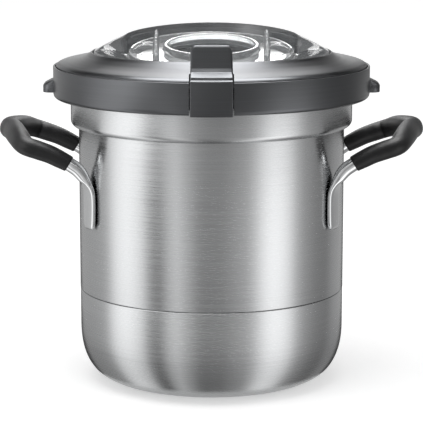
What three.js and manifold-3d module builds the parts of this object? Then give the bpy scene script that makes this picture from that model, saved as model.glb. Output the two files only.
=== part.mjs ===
// Latched stainless-steel cooking bowl with a lid, a filler cap and a blade set on a drive shaft.
// Millimetres, +Z up. The origin is the middle of the footprint, on the surface the bowl stands on.
// +X runs through the handles, and the latch is at the front, towards -Y.

import * as THREE from 'three';
import { mergeVertices } from 'three/addons/utils/BufferGeometryUtils.js';
import Module from 'manifold-3d';

const wasm = await Module();
wasm.setup();

// ---------------------------------------------------------------- driving dimensions

const GAP = 0.3;                 // running clearance between pieces that touch
const ROUND = 32;                // facets round the large revolved pieces
const MEDIUM = 28;               // facets round the filler cap and its seat
const FINE = 16;                 // facets round the small pieces
const RAD = Math.PI / 180;

// vessel
const BODY_R = 96;               // outside of the wall
const WALL = 1.2;                // sheet thickness of vessel and skirt
const SEAM_Z = 68.4;             // joint between vessel and skirt
const SEAM_STEP = 1.7;           // how far the vessel steps in below the seam
const FLOOR_Z = 34;              // inside of the floor
const FLOOR_FILLET = 24;
const RIM_Z = 212.3;             // top of the rolled rim
const BAND_H = 30.5;             // wide band under the rim, with its shoulder
const BAND_OUT = 5.66;           // how far the band stands out from the wall
const SHOULDER_H = 8.6;          // height over which the wall widens
const RIM_OUT = 2.74;            // how far the rolled rim stands out from the band
const RIM_BEAD = 3;              // height of the rolled rim

// skirt, feet, heat plate and cover
const FOOT_H = 1;
const FOOT_W = 8;
const SKIRT_INSET = 0.15;        // the skirt is this much smaller than the wall above it
const CORNER_R = 32.1;           // bottom corner, measured inwards
const CORNER_H = 42.2;           // bottom corner, measured upwards
const CORNER_POWER = 2.49;       // superellipse exponent of the bottom corner
const MOUTH_FLANGE = 5.75;       // flat ring between the bottom corner and the skirt's mouth
const COVER_T = 2.4;
const SCREW_CIRCLE = 40;
const SCREW_R = 1.9;
const SCREW_HEAD = 1.5;
const PLATE_R = 72;              // heat plate under the floor
const PLATE_T = 5;

// drive line
const SHAFT_R = 5;
const BEARING_R = 11;
const BEARING_H = 7;
const SHAFT_SEAL_H = 4;
const HOUSING_WALL = 3.1;
const HOUSING_DROP = 20;         // bearing housing below the inside of the floor
const HOUSING_RISE = 22;         // and above it
const SHANK_OUT = 1.6;           // the housing's threaded shank is this much wider
const NUT_H = 8;
const CLIP_T = 1.2;
const HUB_WALL = 5.3;
const HUB_RISE = 36;             // top of the hub above the bearing housing
const BLADE_REACH = 74;
const BLADE_T = 2;
const BLADE_CHORD = 15;
const LOWER_LIFT = -3.6;         // rise of the lower blades on their way out
const UPPER_LIFT = 13;

// handles
const LEG_Y = 46;                // half of the distance between the two legs of a handle
const PAD_DROP = 63.8;           // lower end of the welded pads, below the shoulder
const PAD_H = 30.5;
const PAD_T = 3.4;
const PAD_W = 16;
const HANDLE_OUT = 59.4;         // reach of the handle beyond its pads
const HANDLE_UP = 35.7;          // rise of the handle above its pads
const ROD_R = 4.9;               // rod where it shows
const CORE_R = 4;                // rod inside the grip

// lid
const LID_SEAL_T = 4.6;
const LID_DROP = 4.7;            // lid ring below the top of the rim
const LID_SIDE = 22.4;           // height of the lid ring's side face
const LID_OUT = 9.65;            // lid ring beyond the rolled rim
const LID_WALL = 3.4;
const LID_CORNER = 3.5;          // rounding of the lower edge
const EDGE_LIP = 1.55;           // thin lip of the side wall round the top ring
const WEB_T = 3;
const RING_W = 28.95;            // from the lid's side to the window's edge
const CROWN = 7.6;               // rise of the top ring from its outer to its inner edge
const SADDLE = 3.6;              // how much higher the lid runs at front and back
const WINDOW_T = 2.2;
const WINDOW_LIP = 2.4;          // window's edge above the top ring
const DOME_H = 24;
const DOME_POWER = 1.92;
const CREST = 2.3;               // how much fuller the dome is behind the pocket
const BACK_SLOPE = 1.6;          // width of the step from the pocket up to the dome, at the back
const FRONT_SLOPE = 28;          // and of the long slope at the front
const LUG_REACH = 7.15;          // side lugs beyond the ring
const LUG_W = 22;

// pocket and filler cap, on an axis that leans forward
const TILT = 7.4 * RAD;
const POCKET_RISE = 0.4;         // pocket floor above the top ring, on the lid's own axis
const CAP_R = 59.5;
const CAP_T = 2.7;
const CAP_FIT = 0.9;             // clearance round the cap and its well
const WELL_R = 34.6;
const WELL_WALL = 3.4;
const WELL_DEPTH = 28;           // below the pocket floor
const WELL_RIM = 7.6;            // above the pocket floor
const FIN_OFF = 5;               // middle of a finger fin, outside the well
const FIN_H = 17.4;
const FIN_L = 40;
const FIN_T = 4.8;

// latch
const LATCH_W = 29.2;
const LATCH_FIT = 0.6;           // clearance on each side of the lever
const LATCH_T = 3.1;
const TAB_H = 24.6;              // tab above the lid ring's edge
const TAB_DEPTH = 10;            // top of the tab, behind the lever's face
const TAB_CORNER = 3.4;
const BEND_H = 8.6;              // bend between plate and tab, above the lid ring's edge
const PIN_DEPTH = 6.4;           // latch pin behind the lever's face
const PIN_DROP = 4.5;            // latch pin below the lid ring's edge
const PIN_R = 1.6;
const PIN_L = 34;
const CHEEK = 4;                 // width of the bosses that hold the latch pin
const KNUCKLE_WALL = 1.4;        // lever's knuckles round the pin's hole
const SPRING_HALF = 5;           // half the room for the spring between the lever's knuckles
const WIRE_R = 0.5;

// ---------------------------------------------------------------- places that follow from them

const BAND_R = BODY_R + BAND_OUT;
const RIM_R = BAND_R + RIM_OUT;
const SHOULDER_Z = RIM_Z - BAND_H;
const LOWER_R = BODY_R - SEAM_STEP;                     // vessel wall below the seam
const UNDER_Z = FLOOR_Z - WALL;                         // underside of the floor
const SKIRT_R = BODY_R - SKIRT_INSET;
const SKIRT_Z = FOOT_H + GAP;
const MOUTH_R = SKIRT_R - CORNER_R - MOUTH_FLANGE;      // opening in the skirt's bottom
const COVER_Z = SKIRT_Z + WALL + GAP;
const PLATE_Z = UNDER_Z - GAP - PLATE_T;

const SHAFT_BORE = SHAFT_R + GAP;
const BEARING_BORE = BEARING_R + GAP;                   // pockets in the bearing housing
const HOUSING_R = BEARING_BORE + HOUSING_WALL;
const HOUSING_BOTTOM = FLOOR_Z - HOUSING_DROP;
const HOUSING_TOP = FLOOR_Z + HOUSING_RISE;
const SHANK_R = HOUSING_R + SHANK_OUT;
const NUT_R = SHANK_R + 6.5;
const COVER_BORE = SHANK_R + 2;
const LOWER_BEARING_Z = HOUSING_BOTTOM + GAP;
const SHAFT_SEAL_Z = HOUSING_TOP - SHAFT_SEAL_H - GAP;
const UPPER_BEARING_Z = SHAFT_SEAL_Z - BEARING_H - GAP;
const CLIP_Z = LOWER_BEARING_Z - CLIP_T - GAP;
const COUPLING_Z = COVER_Z + 0.8;

const HUB_Z = FLOOR_Z + 6.4;
const HUB_CAVITY = HOUSING_R + 0.8;
const HUB_R = HUB_CAVITY + HUB_WALL;
const HUB_CEILING = HOUSING_TOP + 2.5;                  // top of the hub's cavity
const HUB_TOP = HOUSING_TOP + HUB_RISE;
const HEX_TOP = HUB_TOP - 8;
const HUB_LEDGE = 0.7;                                  // ledges that hold the blades on the hub
const LOWER_BLADE_Z = HUB_Z + HUB_LEDGE + GAP;
const UPPER_BLADE_Z = LOWER_BLADE_Z + BLADE_T + HUB_LEDGE + 2 * GAP;

const LID_R = RIM_R + LID_OUT;
const LID_Z = RIM_Z - LID_DROP;
const LID_EDGE_Z = LID_Z + LID_SIDE;                    // top edge of the side face
const LID_WALL_IN = LID_R - LID_WALL;
const SHELF_Z = LID_EDGE_Z - 1.6;                       // shelf that carries the top ring
const GROOVE_R = LID_R - EDGE_LIP - 0.4;                // outer edge of the top ring
const WEB_Z = RIM_Z + LID_SEAL_T + 2 * GAP;
const WEB_TOP = WEB_Z + WEB_T;
const SIGHT_R = LID_R - RING_W;                         // visible radius of the window
const SIGHT_Z = LID_EDGE_Z + CROWN;
const UPSTAND_R = SIGHT_R + 3.1;                        // inside of the lid ring
const FLANGE_R = UPSTAND_R + 2.5;                       // flange of the window
const FLANGE_Z = SHELF_Z + 0.9;
const FLANGE_T = 2;
const POCKET_Z = SIGHT_Z + POCKET_RISE;
const POCKET_R = CAP_R + CAP_FIT;
const FIN_X = WELL_R + FIN_OFF;
const LATCH_TOP = LID_EDGE_Z + TAB_H;
const SLOT_HALF = LATCH_W / 2 + LATCH_FIT;
const PIN_OUT = LID_R - PIN_DEPTH;                      // latch pin, from the axis
const PIN_Z = LID_EDGE_Z - PIN_DROP;
const SLOT_IN = PIN_OUT - 4.4;                          // inner end of the slot in the lid ring

// ---------------------------------------------------------------- geometry helpers

/** Points of an arc in the profile plane, angles in degrees. */
function arc(cx, cy, r, from, to, steps = 5) {
  return Array.from({ length: steps + 1 }, (_, i) => {
    const a = (from + (to - from) * i / steps) * RAD;
    return [cx + r * Math.cos(a), cy + r * Math.sin(a)];
  });
}

/** Signed volume of a closed geometry. */
function volumeOf(geometry) {
  const p = geometry.getAttribute('position');
  const [a, b, c] = [new THREE.Vector3(), new THREE.Vector3(), new THREE.Vector3()];
  let sum = 0;
  for (let i = 0; i < geometry.index.count; i += 3) {
    a.fromBufferAttribute(p, geometry.index.getX(i));
    b.fromBufferAttribute(p, geometry.index.getX(i + 1));
    c.fromBufferAttribute(p, geometry.index.getX(i + 2));
    sum += a.dot(b.cross(c)) / 6;
  }
  return sum;
}

/** Welded, position-only geometry with faces that point out and none that has shrunk to a line. */
function weld(geometry) {
  geometry.deleteAttribute('normal');
  geometry.deleteAttribute('uv');
  const welded = mergeVertices(geometry, 1e-4);
  const faces = [];
  const flip = volumeOf(welded) < 0;
  for (let i = 0; i < welded.index.count; i += 3) {
    const [a, b, c] = [0, 1, 2].map((k) => welded.index.getX(i + k));
    if (a !== b && b !== c && c !== a) faces.push(...(flip ? [c, b, a] : [a, b, c]));
  }
  welded.setIndex(faces);
  return welded;
}

function toSolid(geometry) {
  const welded = weld(geometry);
  const mesh = new wasm.Mesh({
    numProp: 3,
    vertProperties: new Float32Array(welded.getAttribute('position').array),
    triVerts: new Uint32Array(welded.index.array),
  });
  return new wasm.Manifold(mesh);
}

function toGeometry(solid) {
  const mesh = solid.getMesh();
  const geometry = new THREE.BufferGeometry();
  geometry.setAttribute('position', new THREE.BufferAttribute(new Float32Array(mesh.vertProperties), 3));
  geometry.setIndex(new THREE.BufferAttribute(new Uint32Array(mesh.triVerts), 1));
  geometry.computeVertexNormals();
  return geometry;
}

/** One body from several overlapping geometries. */
function join(...geometries) {
  return toGeometry(geometries.map(toSolid).reduce((whole, next) => whole.add(next)));
}

/** The first geometry with all the others cut away. */
function cut(geometry, ...tools) {
  return toGeometry(tools.map(toSolid).reduce((left, tool) => left.subtract(tool), toSolid(geometry)));
}

function intersect(a, b) {
  return toGeometry(toSolid(a).intersect(toSolid(b)));
}

/** Solid of revolution about Z from an open or closed outline of [radius, height] points. */
function revolve(outline, facets = ROUND) {
  const onAxis = outline[0][0] === 0 && outline.at(-1)[0] === 0;
  const points = outline.map(([r, z]) => new THREE.Vector2(r, z));
  if (!onAxis) points.push(points[0].clone());
  return weld(new THREE.LatheGeometry(points, facets).rotateX(Math.PI / 2));
}

/** Upright cylinder between two heights. */
function post(r, z0, z1, facets = FINE) {
  return new THREE.CylinderGeometry(r, r, z1 - z0, facets)
    .rotateX(Math.PI / 2)
    .translate(0, 0, (z0 + z1) / 2);
}

function block(x0, x1, y0, y1, z0, z1) {
  return new THREE.BoxGeometry(x1 - x0, y1 - y0, z1 - z0)
    .translate((x0 + x1) / 2, (y0 + y1) / 2, (z0 + z1) / 2);
}

/** Upright prism of an outline in the XY plane. */
function prism(outline, z0, z1) {
  const shape = new THREE.Shape(outline.map(([x, y]) => new THREE.Vector2(x, y)));
  return new THREE.ExtrudeGeometry(shape, { depth: z1 - z0, bevelEnabled: false }).translate(0, 0, z0);
}

/** Prism along X of an outline given as [y, z] points, centred on x = 0. */
function prismX(outline, width) {
  return prism(outline, -width / 2, width / 2).rotateX(Math.PI / 2).rotateZ(Math.PI / 2);
}

/** Prism along Y of an outline given as [x, z] points. */
function prismY(outline, y0, y1) {
  return prism(outline, -y1, -y0).rotateX(Math.PI / 2);
}

/** Closed skin over a row of equal rings; open rows get flat ends, closed rows run round. */
function skin(rings, runsRound = false) {
  const n = rings[0].length;
  const points = rings.flat();
  const faces = [];
  const last = runsRound ? rings.length : rings.length - 1;
  for (let i = 0; i < last; i++) {
    const here = i * n;
    const next = ((i + 1) % rings.length) * n;
    for (let k = 0; k < n; k++) {
      const k1 = (k + 1) % n;
      faces.push(here + k, here + k1, next + k1, here + k, next + k1, next + k);
    }
  }
  if (!runsRound) {
    for (const [start, forward] of [[0, false], [(rings.length - 1) * n, true]]) {
      const ring = points.slice(start, start + n);
      const middle = ring.reduce((sum, p) => sum.add(p), new THREE.Vector3()).divideScalar(n);
      const centre = points.push(middle) - 1;
      for (let k = 0; k < n; k++) {
        const pair = [start + k, start + (k + 1) % n];
        faces.push(...(forward ? pair : pair.reverse()), centre);
      }
    }
  }
  const geometry = new THREE.BufferGeometry().setFromPoints(points);
  geometry.setIndex(faces);
  return weld(geometry);
}

/** Ring whose [radius, height] section changes with the angle from the front. */
function ringOf(sectionAt, facets = ROUND) {
  const rings = Array.from({ length: facets }, (_, i) => {
    const angle = 2 * Math.PI * i / facets;
    return sectionAt(angle).map(([r, z]) => new THREE.Vector3(r * Math.sin(angle), -r * Math.cos(angle), z));
  });
  return skin(rings, true);
}

/** Turns a geometry built about the leaning cap axis into the lid's frame. */
function lean(geometry) {
  return geometry.rotateX(TILT).translate(0, 0, POCKET_Z);
}

const smooth = (t) => {
  const s = Math.min(1, Math.max(0, t));
  return s * s * (3 - 2 * s);
};

// ---------------------------------------------------------------- finishes

const FINISH = {
  steel: { color: 0xb9bcbe, metalness: 1, roughness: 0.34 },
  aluminium: { color: 0xa9adb0, metalness: 1, roughness: 0.5 },
  bearing: { color: 0x8d9194, metalness: 1, roughness: 0.25 },
  lid: { color: 0x4b4c4e, metalness: 0, roughness: 0.55 },
  black: { color: 0x1d1e1f, metalness: 0, roughness: 0.6 },
  grip: { color: 0x232426, metalness: 0, roughness: 0.7 },
  silicone: { color: 0x8f9294, metalness: 0, roughness: 0.65 },
  window: { color: 0x6d7073, metalness: 0, roughness: 0.08 },
  clear: { color: 0xd9dcde, metalness: 0, roughness: 0.05 },
};

function part(name, geometry, finish) {
  const mesh = new THREE.Mesh(geometry, new THREE.MeshStandardMaterial(FINISH[finish]));
  mesh.name = name;
  return mesh;
}

// ---------------------------------------------------------------- vessel, skirt and base

/** Shoulder under the band: a quarter ellipse that starts level and ends upright. */
function shoulder(inset, lift) {
  return arc(0, 0, 1, 0, 90, 3).map(([x, y]) => [
    BODY_R - inset + BAND_OUT * y,
    SHOULDER_Z + lift + SHOULDER_H * (1 - x),
  ]);
}

function bowlShell() {
  const fillet = FLOOR_FILLET;
  const bead = RIM_Z - RIM_BEAD;
  return part('bowl_shell', revolve([
    [SHANK_R + GAP, UNDER_Z],
    ...arc(LOWER_R - fillet, UNDER_Z + fillet, fillet, -90, 0, 4),
    [LOWER_R, SEAM_Z],
    [BODY_R, SEAM_Z],
    ...shoulder(0, 0),
    [BAND_R, bead],
    [RIM_R - 0.6, bead],
    [RIM_R, bead + 0.6],
    ...arc(RIM_R - 1.2, RIM_Z - 1.2, 1.2, 0, 90, 1),
    [BAND_R - WALL, RIM_Z],
    ...shoulder(WALL, WALL).reverse(),
    [BODY_R - WALL, SEAM_Z + WALL],
    [LOWER_R - WALL, SEAM_Z + WALL],
    ...arc(LOWER_R - fillet, UNDER_Z + fillet, fillet - WALL, 0, -90, 4),
    [SHANK_R + GAP, FLOOR_Z],
  ]), 'steel');
}

/** Superelliptic bottom corner of the skirt, from the flat bottom up to the wall. */
function skirtCorner(inset) {
  return arc(0, 0, 1, 0, 90, 7).map(([x, y]) => {
    const out = Math.max(0, y) ** (2 / CORNER_POWER);
    const up = 1 - Math.max(0, x) ** (2 / CORNER_POWER);
    return [SKIRT_R - CORNER_R + out * (CORNER_R - inset), SKIRT_Z + inset + up * (CORNER_H - inset)];
  });
}

function baseSkirt() {
  const top = SEAM_Z - GAP;
  return part('base_skirt', revolve([
    [MOUTH_R, SKIRT_Z],
    ...skirtCorner(0),
    [SKIRT_R, top],
    [SKIRT_R - WALL, top],
    ...skirtCorner(WALL).reverse(),
    [MOUTH_R, SKIRT_Z + WALL],
  ]), 'steel');
}

/** Copies of a geometry turned round the axis, with angles in degrees. */
function around(angles, make) {
  return angles.map((angle) => make().rotateZ(angle * RAD));
}

const FOOT_ANGLES = [40, 140, 220, 320];
const SCREW_ANGLES = [0, 90, 180, 270];

/** One mesh for each copy of a small piece, numbered from 1. */
function copies(name, angles, make, finish) {
  return around(angles, make).map((geometry, i) => part(`${name}_${i + 1}`, geometry, finish));
}

function footPads() {
  const half = 10.5;
  const outline = [
    ...arc(0, 0, MOUTH_R + 1 + FOOT_W, -90 - half, -90 + half, 4),
    ...arc(0, 0, MOUTH_R + 1, -90 + half, -90 - half, 4),
  ];
  return copies('foot_pad', FOOT_ANGLES, () => weld(prism(outline, 0, FOOT_H)), 'black');
}

function heatPlate() {
  const top = PLATE_Z + PLATE_T;
  const bore = NUT_R + 1.5;
  const plate = revolve([
    [bore, PLATE_Z],
    [PLATE_R - 1, PLATE_Z],
    [PLATE_R, PLATE_Z + 1],
    [PLATE_R, top],
    [bore, top],
  ]);
  const foot = COVER_Z + COVER_T + GAP;
  const boss = () => post(SCREW_R + 2.6, foot, PLATE_Z + 1, 12).translate(SCREW_CIRCLE, 0, 0);
  const hole = () => post(SCREW_R + GAP, foot - 1, PLATE_Z - 2, 8).translate(SCREW_CIRCLE, 0, 0);
  const body = join(plate, ...around(SCREW_ANGLES, boss));
  return part('heat_plate', cut(body, ...around(SCREW_ANGLES, hole)), 'aluminium');
}

function baseCover() {
  const rimR = MOUTH_R + 0.85 * MOUTH_FLANGE;
  const collar = COVER_BORE + 2;
  const top = COVER_Z + COVER_T;
  const disc = revolve([
    [COVER_BORE, COVER_Z],
    [rimR, COVER_Z],
    [rimR, top],
    [collar, top],
    [collar, HOUSING_BOTTOM - 1],
    [COVER_BORE, HOUSING_BOTTOM - 1],
  ]);
  const hole = () => post(SCREW_R + GAP, COVER_Z - 1, top + 1, 8).translate(SCREW_CIRCLE, 0, 0);
  return part('base_cover', cut(disc, ...around(SCREW_ANGLES, hole)), 'black');
}

function baseScrews() {
  const seat = COVER_Z - GAP;
  const head = SCREW_R + 1.6;
  const screw = () => revolve([
    [0, seat - SCREW_HEAD],
    [head - 0.8, seat - SCREW_HEAD],
    [head, seat - 0.6 * SCREW_HEAD],
    [head, seat],
    [SCREW_R, seat],
    [SCREW_R, PLATE_Z - 5],
    [0, PLATE_Z - 4],
  ], 8).translate(SCREW_CIRCLE, 0, 0);
  return copies('base_screw', SCREW_ANGLES, screw, 'bearing');
}

// ---------------------------------------------------------------- bearings and drive line

function bearingHousing() {
  const flangeZ = FLOOR_Z + GAP;
  const web = BEARING_R - 3;
  return part('bearing_housing', revolve([
    [BEARING_BORE, HOUSING_BOTTOM],
    [SHANK_R, HOUSING_BOTTOM],
    [SHANK_R, flangeZ],
    [SHANK_R + 7, flangeZ],
    [SHANK_R + 7, flangeZ + 2],
    ...arc(HOUSING_R + 3, flangeZ + 5, 3, -90, -180, 3),
    [HOUSING_R, HOUSING_TOP - 1],
    [HOUSING_R - 1, HOUSING_TOP],
    [BEARING_BORE, HOUSING_TOP],
    [BEARING_BORE, UPPER_BEARING_Z - GAP],
    [web, UPPER_BEARING_Z - GAP],
    [web, LOWER_BEARING_Z + BEARING_H + GAP],
    [BEARING_BORE, LOWER_BEARING_Z + BEARING_H + GAP],
  ], FINE), 'steel');
}

function housingNut() {
  const top = UNDER_Z - GAP;
  const hexagon = post(NUT_R - 1, top - NUT_H, top, 6);
  const flange = post(NUT_R, top - 0.25 * NUT_H, top);
  const bore = post(SHANK_R + GAP, top - NUT_H - 1, top + 1);
  return part('housing_nut', cut(join(hexagon, flange), bore), 'bearing');
}

/** Ball bearing as one ring, with a groove between its races on both faces. */
function bearing(name, z) {
  const race = (BEARING_R - SHAFT_BORE) / 3;
  const top = z + BEARING_H;
  return part(name, revolve([
    [SHAFT_BORE, z],
    [SHAFT_BORE + race, z],
    [SHAFT_BORE + race, z + 0.8],
    [BEARING_R - race, z + 0.8],
    [BEARING_R - race, z],
    [BEARING_R, z],
    [BEARING_R, top],
    [BEARING_R - race, top],
    [BEARING_R - race, top - 0.8],
    [SHAFT_BORE + race, top - 0.8],
    [SHAFT_BORE + race, top],
    [SHAFT_BORE, top],
  ], 16), 'bearing');
}

function shaftSeal() {
  const top = SHAFT_SEAL_Z + SHAFT_SEAL_H;
  return part('shaft_seal', revolve([
    [SHAFT_BORE, SHAFT_SEAL_Z + 1.4],
    [SHAFT_BORE + 1, SHAFT_SEAL_Z],
    [BEARING_R, SHAFT_SEAL_Z],
    [BEARING_R, top],
    [SHAFT_BORE + 2, top],
    [SHAFT_BORE, top - 1.2],
  ], FINE), 'black');
}

/** Round below, where it runs in the bearings, and hexagonal where it carries the hub. */
function driveShaft() {
  const hexStart = HUB_CEILING - GAP;
  const round = revolve([
    [0, COUPLING_Z],
    [SHAFT_R - 0.6, COUPLING_Z],
    [SHAFT_R, COUPLING_Z + 0.6],
    [SHAFT_R, hexStart],
    [0, hexStart],
  ], FINE);
  return part('drive_shaft', join(round, post(SHAFT_R, hexStart - 1, HEX_TOP - GAP, 6)), 'steel');
}

/** Star coupling under the bowl, with rounded lobes for the motor's socket. */
function driveCoupling() {
  const lobes = 6;
  const depth = 1.6;
  const outline = Array.from({ length: 4 * lobes }, (_, i) => {
    const a = 2 * Math.PI * i / (4 * lobes);
    const r = COVER_BORE - 4 - depth * (1 - Math.cos(lobes * a));
    return [r * Math.cos(a), r * Math.sin(a)];
  });
  const top = CLIP_Z - GAP;
  const bore = post(SHAFT_BORE, COUPLING_Z - 1, top + 1);
  return part('drive_coupling', cut(prism(outline, COUPLING_Z, top), bore), 'black');
}

function retainingClip() {
  const open = 35;
  const outline = [
    ...arc(0, 0, SHAFT_BORE + 2.8, open, 360 - open, 16),
    ...arc(0, 0, SHAFT_BORE, 360 - open, open, 16),
  ];
  return part('retaining_clip', prism(outline, CLIP_Z, CLIP_Z + CLIP_T), 'bearing');
}

// ---------------------------------------------------------------- blade set

/** Bell that drops over the bearing housing and sits on the shaft's hexagon. */
function bladeHub() {
  const ledgeR = HUB_R + 2;
  const bell = revolve([
    [HUB_CAVITY, HUB_Z],
    [ledgeR, HUB_Z],
    [ledgeR, HUB_Z + HUB_LEDGE],
    [HUB_R, HUB_Z + HUB_LEDGE],
    [HUB_R, UPPER_BLADE_Z - GAP - HUB_LEDGE],
    [ledgeR, UPPER_BLADE_Z - GAP - HUB_LEDGE],
    [ledgeR, UPPER_BLADE_Z - GAP],
    [HUB_R, UPPER_BLADE_Z - GAP],
    [HUB_R, UPPER_BLADE_Z + BLADE_T + GAP],
    [ledgeR, UPPER_BLADE_Z + BLADE_T + GAP],
    [HUB_R, UPPER_BLADE_Z + BLADE_T + 3],
    [HOUSING_R + 2.4, HUB_CEILING],
    [0.62 * HUB_R, HUB_TOP - 12],
    [0.6 * HUB_R, HUB_TOP - 5],
    [0.45 * HUB_R, HUB_TOP - 1.4],
    [0, HUB_TOP],
    [0, HUB_CEILING],
    [HUB_CAVITY, HUB_CEILING],
  ], FINE);
  return part('blade_hub', cut(bell, post(SHAFT_R + GAP, HUB_CEILING - 1, HEX_TOP, 6)), 'black');
}

const UP = new THREE.Vector3(0, 0, 1);

/** Arm lofted from the collar to its tip; chord, sweep and height change on the way out. */
function bladeArm(z, lift) {
  const root = HUB_R + 1.6;
  const stations = 7;
  const rings = Array.from({ length: stations }, (_, i) => {
    const t = i / (stations - 1);
    const sweep = -22 * t * t * RAD;
    const half = BLADE_CHORD * (0.5 - 0.3 * t * t);
    const base = z + lift * smooth(1.25 * t);
    const bevel = 0.4 * half;
    return [
      [-half, 0.1], [half - bevel, 0], [half, 0.35], [half - bevel, 1], [-half, 0.9],
    ].map(([along, up]) => {
      const point = new THREE.Vector3(root + t * (BLADE_REACH - root), along, base + up * BLADE_T);
      return point.applyAxisAngle(UP, sweep);
    });
  });
  return skin(rings);
}

function blades(name, z, lift, turn) {
  const inside = HUB_R + GAP;
  const outside = HUB_R + 3.5;
  const collar = revolve([[inside, z], [outside, z], [outside, z + BLADE_T], [inside, z + BLADE_T]], FINE);
  return part(name, join(collar, ...around([turn, turn + 180], () => bladeArm(z, lift))), 'steel');
}

// ---------------------------------------------------------------- handles

const PAD_RADIUS = BODY_R + GAP + PAD_T / 2;
const PAD_X = Math.sqrt(PAD_RADIUS ** 2 - LEG_Y ** 2);
const PAD_Z = SHOULDER_Z - PAD_DROP;

/** A station on a welded pad, at a share of its height. */
const onPad = (up, rod) => ({ out: 0, side: 1, up: up * PAD_H, rod, turn: 0 });

/** A station on a handle's arm, at shares of its reach, its half width and its rise. */
const onArm = (out, side, up, rod, turn, grip) => ({
  out: out * HANDLE_OUT, side, up: PAD_H + up * HANDLE_UP, rod, turn, grip,
});

/**
 * Half a handle, from the foot of a pad to the middle of the grip. Rod and grip are half widths
 * and half thicknesses, and turn runs from 0, along the wall, to 1, in the handle's own plane.
 */
const STATIONS = [
  onPad(0, [0.3 * PAD_W, 0.15 * PAD_T]),
  onPad(0.06, [0.4 * PAD_W, 0.47 * PAD_T]),
  onPad(0.22, [0.5 * PAD_W, 0.5 * PAD_T]),
  onPad(0.8, [0.5 * PAD_W, 0.5 * PAD_T]),
  onArm(0.025, 1, 0.029, [0.4 * PAD_W, 0.7 * PAD_T], 0.2),
  onArm(0.065, 1, 0.182, [1.05 * ROD_R, 0.86 * ROD_R], 0.7),
  onArm(0.133, 1, 0.331, [ROD_R, ROD_R], 1),
  onArm(0.234, 1, 0.451, [ROD_R, ROD_R], 1, [5.8, 5.8]),
  onArm(0.354, 1, 0.558, [CORE_R, CORE_R], 1, [6.2, 6.3]),
  onArm(0.461, 1, 0.667, [CORE_R, CORE_R], 1, [6.2, 6.5]),
  onArm(0.606, 1, 0.735, [CORE_R, CORE_R], 1, [6.5, 6.7]),
  onArm(0.759, 0.966, 0.821, [CORE_R, CORE_R], 1, [7, 6.8]),
  onArm(0.855, 0.673, 0.922, [CORE_R, CORE_R], 1, [7.5, 7.4]),
  onArm(0.943, 0.258, 0.988, [CORE_R, CORE_R], 1, [7.6, 7.6]),
  onArm(1, 0, 1, [CORE_R, CORE_R], 1, [7.7, 7.7]),
];
const GRIP_START = STATIONS.findIndex((station) => station.grip);
const HANDLE_SPANS = 2 * (STATIONS.length - 1);

/** Rings of a handle's skin between two stations; sizeOf gives the half sizes at a station. */
function handleRings(first, last, sides, sizeOf) {
  const stations = [
    ...STATIONS.map((station) => ({ ...station, sign: -1 })),
    ...STATIONS.slice(0, -1).reverse().map((station) => ({ ...station, sign: 1 })),
  ];
  const places = stations.map((s) => new THREE.Vector3(PAD_X + s.out, s.sign * s.side * LEG_Y, PAD_Z + s.up));
  const path = new THREE.CatmullRomCurve3(places, false, 'centripetal');
  const lifted = new THREE.Vector3(-0.35, 0, 1).normalize();
  return Array.from({ length: last - first + 1 }, (_, step) => {
    const station = stations[first + step];
    const along = path.getTangent((first + step) / HANDLE_SPANS);
    const across = new THREE.Vector3(-PAD_X, -station.sign * LEG_Y, 0).normalize();
    across.lerp(lifted, station.turn);
    across.addScaledVector(along, -across.dot(along)).normalize();
    const wide = along.clone().cross(across);
    const [a, b] = sizeOf(station);
    return arc(0, 0, 1, 0, 360 * (1 - 1 / sides), sides - 1).map(([x, y]) => {
      return places[first + step].clone().addScaledVector(wide, a * x).addScaledVector(across, b * y);
    });
  });
}

function handleBracket(name, turn) {
  const rod = skin(handleRings(0, HANDLE_SPANS, 8, (station) => station.rod));
  return part(name, rod.rotateZ(turn), 'steel');
}

/** Soft grip, moulded round the middle of the bracket's rod. */
function handleGrip(name, turn) {
  const end = HANDLE_SPANS - GRIP_START;
  const outside = skin(handleRings(GRIP_START, end, 12, (station) => station.grip));
  const loose = (station) => station.rod.map((size) => size + GAP);
  const bore = skin(handleRings(GRIP_START - 1, end + 1, 8, loose));
  return part(name, cut(outside, bore).rotateZ(turn), 'grip');
}

// ---------------------------------------------------------------- lid ring, window and seals

/** Extra height of the lid towards front and back, at an angle from the front. */
const saddle = (angle) => SADDLE * Math.cos(angle) ** 2;

/** Hole about the latch pin, between two places along X. */
function alongPin(r, from, to, facets = 16) {
  return post(r, from, to, facets).rotateY(Math.PI / 2).translate(0, -PIN_OUT, PIN_Z);
}

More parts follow.
